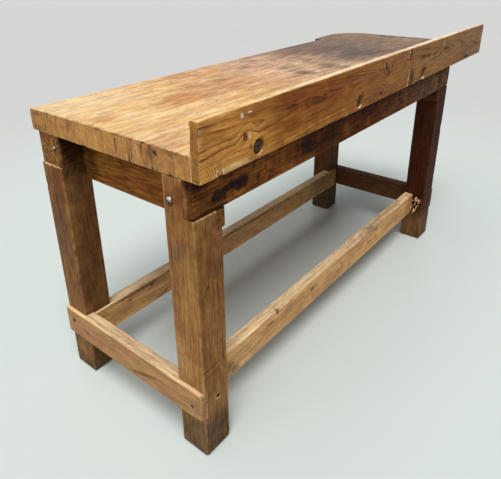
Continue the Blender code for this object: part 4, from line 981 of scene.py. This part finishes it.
def pale_pine_stretchers(tones):
    """Newer planed pine, paler than the posts, with soft wide rings, a painted highlight on the upper
    faces, and painted shade over the far end stretcher.
    """
    wood = start_pine("pine_planed_pale_stretchers", tones)
    rings(wood, gap=7.0, lean=0.012)
    # Painted highlight: the upper faces are lighter, as they face the light
    pale = facing(wood, 0.3, 0.8, 0.8)
    newer = add_node(
        wood.tree, MIX, {0: pale, 6: tones.stretcher, 7: tones.stretcher_top_highlight}, 2, data_type='RGBA')
    # Painted shade: the darker tone by the timber's tone, less on the upper faces, and in full over the far
    # end stretcher
    shade = add_node(wood.tree, MATH, {0: pale, 1: -0.5, 2: 1.0}, operation='MULTIPLY_ADD')
    aged = add_node(wood.tree, MATH, {0: shade, 1: wood.tone}, operation='MULTIPLY')
    old = add_node(wood.tree, MATH, {0: wood.tone, 1: 0.8}, operation='GREATER_THAN')
    darker = add_node(wood.tree, MATH, {0: aged, 1: old}, operation='MAXIMUM')
    colour = add_node(
        wood.tree, MIX, {0: darker, 6: newer, 7: tones.stretcher_shade}, 2, data_type='RGBA')
    colour = lay_marks(wood, colour, STRETCHER_PATCHES, blur=1.0)
    colour = lay_marks(wood, colour, STRETCHER_SPOTS, blur=0.5)
    return finish_pine(
        wood, colour, ring=0.36, streak=0.20, fibre=0.22, patch=0.24, mottle=0.26, edge=0.45, gloss=0.64,
        grit=1.4, grit_size=(6, 80))


def turned_beech(tones):
    """Beech dowel rod: even pale brown with short dark flecks along it.

    The flecks are drawn 1.5 mm wide, three times their real width, so that they show.
    """
    material, tree = empty_material("beech_turned_dowel")
    place = add_node(tree, COORDINATES, output="Object")
    fleck = drawn_noise(tree, place, 1.5, 9, 2.0)
    dark = add_node(tree, MAP_RANGE, {"Value": fleck, "From Min": 0.52, "From Max": 0.66, "To Max": 0.6})
    colour = add_node(
        tree, MIX, {0: dark, 6: tones.beech, 7: tones.latewood}, 2, data_type='RGBA')
    bump = add_node(tree, BUMP, {"Strength": 0.2, "Distance": 0.0003, "Height": fleck})
    surface = add_node(
        tree, PRINCIPLED, {"Base Color": colour, "Roughness": 0.55, "Normal": bump})
    add_node(tree, OUTPUT, {"Surface": surface}, None)
    return material


def old_steel(name, clean, rust, rusted, gloss):
    """Forged steel with thin rust: bright where it is bare, brown and dull where it is rusted.

    A painted highlight clears the rust off the parts that face up and out towards the near end.
    Pits are drawn 1.2 mm wide, a few times their real width, so that they show.
    """
    material, tree = empty_material(name)
    place = add_node(tree, COORDINATES, output="Object")
    normal = add_node(tree, GEOMETRY, output="Normal")
    # Painted highlight: faces that look up and towards the near end lose their rust and show bare steel
    towards = add_node(
        tree, VECTOR_MATH, {0: normal, 1: HIGHLIGHT_WAY}, "Value", operation='DOT_PRODUCT')
    rubbed = add_node(
        tree, MAP_RANGE, {"Value": towards, "From Min": 0.78, "From Max": 0.95, "To Max": 0.30})
    bloom = add_node(
        tree, NOISE, {"Vector": place, "Scale": 1 / (5 * MM), "Detail": 5.0, "Roughness": 0.65})
    kept = add_node(tree, MATH, {0: bloom, 1: rubbed}, operation='SUBTRACT')
    pits = add_node(tree, NOISE, {"Vector": place, "Scale": 1 / (1.2 * MM), "Detail": 2.0})
    cover = add_node(
        tree, MAP_RANGE, {"Value": kept, "From Min": 0.60 - rusted, "From Max": 0.76 - rusted},
        interpolation_type='SMOOTHSTEP')
    colour = add_node(tree, MIX, {0: cover, 6: clean, 7: rust}, 2, data_type='RGBA')
    metallic = add_node(tree, MAP_RANGE, {"Value": cover, "To Min": 1.0, "To Max": 0.15})
    rough = add_node(tree, MAP_RANGE, {"Value": cover, "To Min": gloss, "To Max": 0.85})
    bump = add_node(tree, BUMP, {"Strength": 0.3, "Distance": 0.0003, "Height": pits})
    surface = add_node(
        tree, PRINCIPLED,
        {"Base Color": colour, "Metallic": metallic, "Roughness": rough, "Normal": bump})
    add_node(tree, OUTPUT, {"Surface": surface}, None)
    return material


def stations(low, high, pitch, rim):
    """Where to cut a timber along one axis: close to its two arrises, then evenly."""
    close = [0.3 * rim, 0.8 * rim, 1.6 * rim, 3.0 * rim]
    count = max(2, round((high - low - 6 * rim) / pitch))
    between = np.linspace(low + 3.0 * rim, high - 3.0 * rim, count + 1)[1:-1]
    return sorted([low + c for c in close] + [high - c for c in close] + list(between))


def slice_across(shape, axis, places):
    """Cut a mesh square across an axis at each place, working along it."""
    across = Vector((axis == 0, axis == 1, axis == 2))
    ahead = list(shape.faces)
    for place in places:
        edges = {edge for face in ahead for edge in face.edges}
        corners = {vertex for face in ahead for vertex in face.verts}
        cut = bmesh.ops.bisect_plane(
            shape, geom=list(corners) + list(edges) + ahead, dist=ON_PLANE,
            plane_co=across * place, plane_no=across)
        faces = [part for part in cut["geom"] if isinstance(part, bmesh.types.BMFace)]
        ahead = [face for face in faces if max(v.co[axis] for v in face.verts) > place + ON_PLANE]


def fine_mesh(name, along, wear, cuts):
    """A node's own solid, cut into small even faces that can wear."""
    shape = bmesh.new()
    shape.from_mesh(frame["nodes"][name].data)
    bmesh.ops.remove_doubles(shape, verts=shape.verts, dist=WELD)
    bmesh.ops.dissolve_limit(shape, angle_limit=FLAT_ANGLE, verts=shape.verts, edges=shape.edges)
    bmesh.ops.connect_verts_concave(shape, faces=shape.faces)
    low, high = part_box(name)
    for axis in sorted(range(3), key=lambda a: a == along):
        pitch = wear.pitch if axis == along else cuts
        slice_across(shape, axis, stations(low[axis], high[axis], pitch, wear.arris))
    bmesh.ops.recalc_face_normals(shape, faces=shape.faces)
    return shape


def noise_at(points, size, shift=0.0):
    """Smooth noise from -1 to 1 at each point, with waves of a given size in metres."""
    offset = Vector((shift, 1.7 * shift, -0.6 * shift))
    return np.array([noise.noise(Vector(p) / size + offset) for p in points])


def wear_arrises(points, low, high, radius):
    """Round the arrises of a box, each point by its own radius, and give how far each one moved."""
    reach = radius[:, None]
    inner = np.clip(points, low + reach, high - reach)
    away = points - inner
    distance = np.linalg.norm(away, axis=1)
    kept = np.minimum(distance, radius)
    worn = inner + away * (kept / np.maximum(distance, 1e-9))[:, None]
    return worn, distance - kept


def arris_radius(points, wear, number, chips):
    """How far the arrises have worn at each point, and where chips have come off."""
    swing = 0.6 * noise_at(points, LONG_WEAR, number) + 0.4 * noise_at(points, SHORT_WEAR, number + 9)
    radius = np.maximum(wear.arris + wear.arris_swing * swing, LEAST_ARRIS)
    chance = noise_at(points, CHIP_WEAR, number + 21)
    chip = np.clip((chance - chips) / 0.18, 0.0, 1.0)
    for place, reach in NOTCHES:
        apart = np.linalg.norm(points - DATUM - np.array(place) * MM, axis=1)
        chip = np.maximum(chip, np.clip(1.3 - apart / (reach * MM), 0.0, 1.0))
    return radius + wear.chip * chip, chip


def pit_cutter(pits, name):
    """Ragged pyramids, to cut pits with: wide at the face and pointed at the bottom."""
    rng = np.random.default_rng(PIT_SEED)
    shape = bmesh.new()
    for pit in pits:
        inward = Vector(pit.inward)
        middle = DATUM + Vector(pit.middle) * MM
        side = Vector((0.0, 0.0, 1.0)).cross(inward)
        out = Vector(pit.reach)
        ring = []
        for i in range(PIT_SIDES):
            turn = math.tau * i / PIT_SIDES
            share = rng.uniform(0.8, 1.25) if i % 2 else rng.uniform(0.35, 0.7)
            way = side * math.cos(turn) + Vector((0.0, 0.0, math.sin(turn)))
            offset = Vector((way.x * out.x, way.y * out.y, way.z * out.z)) * share * MM
            ring.append(shape.verts.new(middle + offset - inward * MM))
        tip = shape.verts.new(middle + inward * pit.depth * MM)
        for i, vertex in enumerate(ring):
            shape.faces.new((vertex, ring[i - 1], tip))
        shape.faces.new(ring)
    bmesh.ops.recalc_face_normals(shape, faces=shape.faces)
    mesh = bpy.data.meshes.new(f"pits_{name}")
    shape.to_mesh(mesh)
    shape.free()
    return mesh


def cut_pits(shape, name):
    """Cut a timber's ragged holes out of its fine mesh."""
    mesh = bpy.data.meshes.new(f"uncut_{name}")
    shape.to_mesh(mesh)
    timber = bpy.data.objects.new(f"uncut_{name}", mesh)
    cutter = bpy.data.objects.new(f"pits_{name}", pit_cutter(PITS[name], name))
    for piece in (timber, cutter):
        bpy.context.scene.collection.objects.link(piece)
    cut = timber.modifiers.new("pits", 'BOOLEAN')
    cut.object = cutter
    cut.operation = 'DIFFERENCE'
    cut.solver = 'EXACT'
    finished = timber.evaluated_get(bpy.context.evaluated_depsgraph_get())
    shape.clear()
    shape.from_mesh(finished.to_mesh())
    finished.to_mesh_clear()
    for piece in (timber, cutter):
        bpy.data.objects.remove(piece)


def in_pit(points, name):
    """1 for the points that lie inside a timber's pits and splits."""
    inside = np.zeros(len(points))
    for pit in PITS.get(name, ()) + SPLITS.get(name, ()):
        inward = np.array(pit.inward)
        offset = (points - DATUM) / MM - np.array(pit.middle)
        deep = offset @ inward
        across = np.abs(offset) * (1 - inward) <= np.array(pit.reach) * 1.3 + 0.01
        inside = np.maximum(inside, across.all(axis=1) & (deep > 0.05) & (deep < pit.depth + 0.5))
    return inside


def write_field(mesh, name, kind, domain, key, values):
    """Give a mesh a named field that its material reads."""
    field = mesh.attributes.new(name, kind, domain)
    field.data.foreach_set(key, np.asarray(values, np.float32).ravel())


def dress_timber(name, timber, number, material, wear, cuts, chips, box=None, dent=None):
    """Stand a worn, finely cut timber in the place of a node, with its grain laid along it.

    The box is the one whose arrises wear, which is the timber's own unless another is given.
    """
    shape = fine_mesh(name, timber.along, wear, cuts)
    if name in PITS:
        cut_pits(shape, name)
    shape.normal_update()
    holes = in_pit(np.array([face.calc_center_median() for face in shape.faces]), name)
    points = np.array([v.co for v in shape.verts])
    normals = np.array([v.normal for v in shape.verts])
    low, high = (np.array(corner) for corner in (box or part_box(name)))
    radius, chip = arris_radius(points, wear, number, chips)
    worn, moved = wear_arrises(points, low, high, radius)
    hollow = 0.5 + 0.5 * noise_at(points, FACE_WEAR, number + 40)
    worn -= normals * (wear.hollow * hollow)[:, None]
    if dent:
        worn = dent(worn, normals)
    sides = np.sort(np.minimum(np.abs(points - low), np.abs(high - points)), axis=1)
    arris = np.clip(1.0 - sides[:, 1] / (3 * wear.arris), 0.0, 1.0)
    chipped = np.clip(moved / wear.chip * 2.0, 0.0, 1.0) * chip
    cross = [axis for axis in range(3) if axis != timber.along]
    middle = (Vector(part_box(name)[0]) + Vector(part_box(name)[1])) / 2
    grain = np.stack([
        points[:, cross[0]] - middle[cross[0]] - timber.heart[0],
        points[:, cross[1]] - middle[cross[1]] - timber.heart[1],
        points[:, timber.along] + GRAIN_STEP * number], axis=1)
    for vertex, place in zip(shape.verts, worn):
        vertex.co = place
    ends = [float(abs(face.normal[timber.along]) > FACING_SHARE) for face in shape.faces]
    mesh = bpy.data.meshes.new(f"worn_{name}")
    shape.to_mesh(mesh)
    shape.free()
    write_field(mesh, "grain", 'FLOAT_VECTOR', 'POINT', "vector", grain)
    write_field(mesh, "arris", 'FLOAT', 'POINT', "value", arris)
    write_field(mesh, "chip", 'FLOAT', 'POINT', "value", chipped)
    write_field(mesh, "pit", 'FLOAT', 'FACE', "value", holes)
    write_field(mesh, "end", 'FLOAT', 'FACE', "value", ends)
    write_field(mesh, "tone", 'FLOAT', 'POINT', "value", np.full(len(points), timber.tone))
    mesh.shade_smooth()
    mesh.set_sharp_from_angle(angle=SHARP_ANGLE)
    mesh.materials.append(material)
    piece = bpy.data.objects.new(f"worn_{name}", mesh)
    bpy.context.scene.collection.objects.link(piece)
    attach(piece, BODY)
    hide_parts(name)


def dress_timbers(timbers, first, material, wear, cuts, chips):
    """Dress a group of like timbers, numbered from the first."""
    for number, (name, timber) in enumerate(timbers.items(), first):
        dress_timber(name, timber, number, material, wear, cuts, chips)


def dress_nodes(names, material):
    """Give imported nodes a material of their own."""
    for name in names:
        frame["nodes"][name].data.materials.clear()
        frame["nodes"][name].data.materials.append(material)


class BENCH_OT_dress_top(bpy.types.Operator):
    """Wear and colour the staves of the top"""

    bl_idname = "workbench.dress_top"
    bl_label = "Dress the Top"

    def execute(self, context):
        wear = context.scene.bench_wear
        material = planed_pine_top(context.scene.bench_tones)
        box = (TOP_LOW, Vector((TOP_HIGH.x, TOP_BACK, TOP_HIGH.z)))
        ear_box = (TOP_LOW, Vector((TOP_HIGH.x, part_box("top_stave_6")[1].y, TOP_HIGH.z)))
        rng = np.random.default_rng(DENT_SEED)
        spots = rng.uniform((TOP_LOW.x, TOP_LOW.y), (TOP_HIGH.x, TOP_BACK), (DENT_COUNT, 2))
        widths = rng.uniform(*DENT_WIDTH, DENT_COUNT)
        depths = rng.uniform(0.2, 1.0, DENT_COUNT) * wear.dent

        def dent(points, normals):
            """Press the dents into the points that look up."""
            upper = normals[:, 2] > FACING_SHARE
            for spot, width, depth in zip(spots, widths, depths):
                share = np.linalg.norm(points[:, :2] - spot, axis=1) / width
                points[:, 2] -= np.where(upper & (share < 1.0), depth * (1 - share ** 2) ** 2, 0.0)
            return points

        for number, (name, timber) in enumerate(STAVES.items(), FIRST_STAVE):
            worn_box = ear_box if name == "top_stave_6" else box
            dress_timber(name, timber, number, material, wear, FINE_CUTS, TOP_CHIPS, worn_box, dent)
        return {'FINISHED'}


class BENCH_OT_dress_fence(bpy.types.Operator):
    """Wear and colour the fence along the front of the top"""

    bl_idname = "workbench.dress_fence"
    bl_label = "Dress the Fence"

    def execute(self, context):
        wear = context.scene.bench_wear
        material = oiled_pine_fence(context.scene.bench_tones)
        dress_timbers(FENCE, FIRST_FENCE, material, wear, MIDDLE_CUTS, FENCE_CHIPS)
        return {'FINISHED'}


class BENCH_OT_dress_legs(bpy.types.Operator):
    """Wear and colour the four legs"""

    bl_idname = "workbench.dress_legs"
    bl_label = "Dress the Legs"

    def execute(self, context):
        wear = context.scene.bench_wear
        material = handled_pine_legs(context.scene.bench_tones)
        dress_timbers(LEGS, FIRST_LEG, material, wear, COARSE_CUTS, FRAME_CHIPS)
        return {'FINISHED'}


class BENCH_OT_dress_rails(bpy.types.Operator):
    """Wear and colour the apron, the back rail and the end aprons"""

    bl_idname = "workbench.dress_rails"
    bl_label = "Dress the Rails"

    def execute(self, context):
        wear = context.scene.bench_wear
        material = stained_pine_rails(context.scene.bench_tones)
        dress_timbers(RAILS, FIRST_RAIL, material, wear, COARSE_CUTS, FRAME_CHIPS)
        return {'FINISHED'}


class BENCH_OT_dress_stretchers(bpy.types.Operator):
    """Wear and colour the four low stretchers"""

    bl_idname = "workbench.dress_stretchers"
    bl_label = "Dress the Stretchers"

    def execute(self, context):
        wear = context.scene.bench_wear
        material = pale_pine_stretchers(context.scene.bench_tones)
        dress_timbers(STRETCHERS, FIRST_STRETCHER, material, wear, COARSE_CUTS, FRAME_CHIPS)
        return {'FINISHED'}


class BENCH_OT_add_splinters(bpy.types.Operator):
    """Stand splinters out of the far front leg, beside the stretcher"""

    bl_idname = "workbench.add_splinters"
    bl_label = "Add the Splinters"

    def execute(self, context):
        rng = np.random.default_rng(SPLINTER_SEED)
        shape = bmesh.new()
        for root in rng.uniform(SPLINTER_LOW, SPLINTER_HIGH, (SPLINTER_COUNT, 3)):
            reach = rng.uniform(*SPLINTER_LENGTH)
            width, turn = rng.uniform(*SPLINTER_WIDTH), rng.uniform(0, math.tau)
            corners = []
            for i in range(3):
                angle = turn + math.tau * i / 3
                corner = root + (1.0, width * math.cos(angle), 1.6 * width * math.sin(angle))
                corners.append(shape.verts.new(DATUM + Vector(corner) * MM))
            lean = (-reach, rng.uniform(-0.4, 0.4) * reach, rng.uniform(-0.7, 0.5) * reach)
            tip = shape.verts.new(DATUM + Vector(root + lean) * MM)
            shape.faces.new(corners)
            for i, corner in enumerate(corners):
                shape.faces.new((corner, corners[i - 1], tip))
        bmesh.ops.recalc_face_normals(shape, faces=shape.faces)
        mesh = bpy.data.meshes.new("splinters")
        shape.to_mesh(mesh)
        shape.free()
        spots = np.array([v.co for v in mesh.vertices])
        write_field(mesh, "grain", 'FLOAT_VECTOR', 'POINT', "vector", spots[:, [1, 2, 0]])
        write_field(mesh, "tone", 'FLOAT', 'POINT', "value", rng.uniform(0.0, 0.45, len(spots)))
        mesh.materials.append(bpy.data.materials["pine_planed_pale_stretchers"])
        piece = bpy.data.objects.new("splinters", mesh)
        context.scene.collection.objects.link(piece)
        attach(piece, BODY)
        return {'FINISHED'}


class BENCH_OT_dress_fixings(bpy.types.Operator):
    """Colour the bolts, screws, washers, nuts and dowels"""

    bl_idname = "workbench.dress_fixings"
    bl_label = "Dress the Fixings"

    def execute(self, context):
        tones = context.scene.bench_tones
        # Both steels carry the painted highlight on faces that look up and towards the near end
        rubbed = old_steel("steel_forged_and_rubbed", tones.bright_steel, tones.rust, 0.34, 0.35)
        rusted = old_steel("steel_forged_and_rusted", tones.dark_steel, tones.rust, 0.26, 0.60)
        dress_nodes(BRIGHT_FIXINGS, rubbed)
        dress_nodes(DARK_FIXINGS, rusted)
        dress_nodes(DOWELS, turned_beech(tones))
        return {'FINISHED'}


class BENCH_OT_set_stage(bpy.types.Operator):
    """Lay the floor, hang the lights and place the camera"""

    bl_idname = "workbench.set_stage"
    bl_label = "Set the Stage"

    def execute(self, context):
        stage = context.scene.bench_stage
        lay_floor(stage)
        hang_sun("key_light", stage.key, *KEY_LIGHT)
        hang_sun("overhead_light", stage.over, *OVERHEAD_LIGHT)
        hang_sun("fill_light", stage.fill, *FILL_LIGHT)
        even_sky(stage)
        place_camera(stage.lens)
        context.scene.view_settings.view_transform = 'Standard'
        return {'FINISHED'}


def lay_floor(stage):
    """A wide pale floor with a slight sheen, which fades to the backdrop's grey."""
    shape = bmesh.new()
    bmesh.ops.create_grid(shape, x_segments=1, y_segments=1, size=FLOOR_REACH)
    mesh = bpy.data.meshes.new("floor")
    shape.to_mesh(mesh)
    shape.free()
    material, tree = empty_material("concrete_painted_floor")
    place = add_node(tree, COORDINATES, output="Object")
    cloud = add_node(tree, NOISE, {"Vector": place, "Scale": 1 / (400 * MM), "Detail": 3.0})
    distance = add_node(tree, VECTOR_MATH, {0: place}, "Value", operation='LENGTH')
    near, far = FLOOR_FADE
    faded = add_node(
        tree, MAP_RANGE, {"Value": distance, "From Min": near, "From Max": far},
        interpolation_type='SMOOTHSTEP')
    colour = add_node(tree, MIX, {0: faded, 6: stage.floor, 7: stage.backdrop}, 2, data_type='RGBA')
    dull = add_node(tree, MAP_RANGE, {"Value": cloud, "To Min": 0.32, "To Max": 0.46})
    surface = add_node(
        tree, PRINCIPLED,
        {"Base Color": colour, "Roughness": dull, "Specular IOR Level": 0.35})
    add_node(tree, OUTPUT, {"Surface": surface}, None)
    mesh.materials.append(material)
    floor = bpy.data.objects.new("floor", mesh)
    bpy.context.scene.collection.objects.link(floor)


def hang_sun(name, energy, spread, source):
    """A soft distant light: how wide it is in degrees, and the way from the bench towards it."""
    lamp = bpy.data.lights.new(name, 'SUN')
    lamp.energy = energy
    lamp.angle = math.radians(spread)
    light = bpy.data.objects.new(name, lamp)
    light.rotation_euler = Vector(source).to_track_quat('Z', 'Y').to_euler()
    bpy.context.scene.collection.objects.link(light)


def even_sky(stage):
    """Even light all round, behind which the backdrop's grey shows."""
    world = bpy.data.worlds.new("studio_sky")
    bpy.context.scene.world = world
    world.use_nodes = True
    tree = world.node_tree
    tree.nodes.clear()
    path = add_node(tree, "ShaderNodeLightPath", output=None).outputs
    seen = add_node(tree, MATH, {0: path["Is Camera Ray"], 1: path["Is Glossy Ray"]}, operation='MAXIMUM')
    shown = add_node(tree, MATH, {0: seen, 1: path["Is Transmission Ray"]}, operation='MAXIMUM')
    light = add_node(tree, BACKGROUND, {"Color": (1.0, 1.0, 1.0, 1.0), "Strength": stage.sky})
    grey = add_node(tree, BACKGROUND, {"Color": stage.backdrop, "Strength": 1.0})
    both = add_node(tree, "ShaderNodeMixShader", {0: shown, 1: light, 2: grey})
    add_node(tree, "ShaderNodeOutputWorld", {"Surface": both}, None)


def place_camera(lens):
    """The camera, at the photograph's place and angle."""
    camera = bpy.data.objects.new("camera", bpy.data.cameras.new("camera"))
    camera.location = CAMERA_PLACE
    camera.rotation_euler = Euler([math.radians(v) for v in CAMERA_TURN])
    camera.data.sensor_width = SENSOR_WIDTH
    camera.data.lens = lens
    camera.data.shift_x, camera.data.shift_y = CAMERA_SHIFT
    bpy.context.scene.collection.objects.link(camera)
    bpy.context.scene.camera = camera


class BENCH_PT_finish(bpy.types.Panel):
    """The bench's operators and settings"""

    bl_idname = "BENCH_PT_finish"
    bl_label = "Workbench Finish"
    bl_space_type = 'VIEW_3D'
    bl_region_type = 'UI'
    bl_category = "Workbench"

    def draw(self, context):
        for operator in OPERATORS:
            self.layout.operator(operator.bl_idname)
        for group in (context.scene.bench_wear, context.scene.bench_stage, context.scene.bench_tones):
            column = self.layout.column()
            for field in group.bl_rna.properties:
                if not field.is_readonly and field.identifier != "name":
                    column.prop(group, field.identifier)


OPERATORS = (
    BENCH_OT_dress_top, BENCH_OT_dress_fence, BENCH_OT_dress_legs, BENCH_OT_dress_rails,
    BENCH_OT_dress_stretchers, BENCH_OT_add_splinters, BENCH_OT_dress_fixings, BENCH_OT_set_stage)
CLASSES = (BenchTones, BenchWear, BenchStage, *OPERATORS, BENCH_PT_finish)


def register():
    """Add the classes, and the settings to the scene."""
    for part in CLASSES:
        bpy.utils.register_class(part)
    bpy.types.Scene.bench_tones = PointerProperty(type=BenchTones)
    bpy.types.Scene.bench_wear = PointerProperty(type=BenchWear)
    bpy.types.Scene.bench_stage = PointerProperty(type=BenchStage)


def unregister():
    """Take the settings and the classes away again."""
    for name in ("bench_tones", "bench_wear", "bench_stage"):
        delattr(bpy.types.Scene, name)
    for part in reversed(CLASSES):
        bpy.utils.unregister_class(part)


def main():
    """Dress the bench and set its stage."""
    register()
    for operator in OPERATORS:
        group, name = operator.bl_idname.split(".")
        getattr(getattr(bpy.ops, group), name)()


if __name__ == "__main__":
    main()
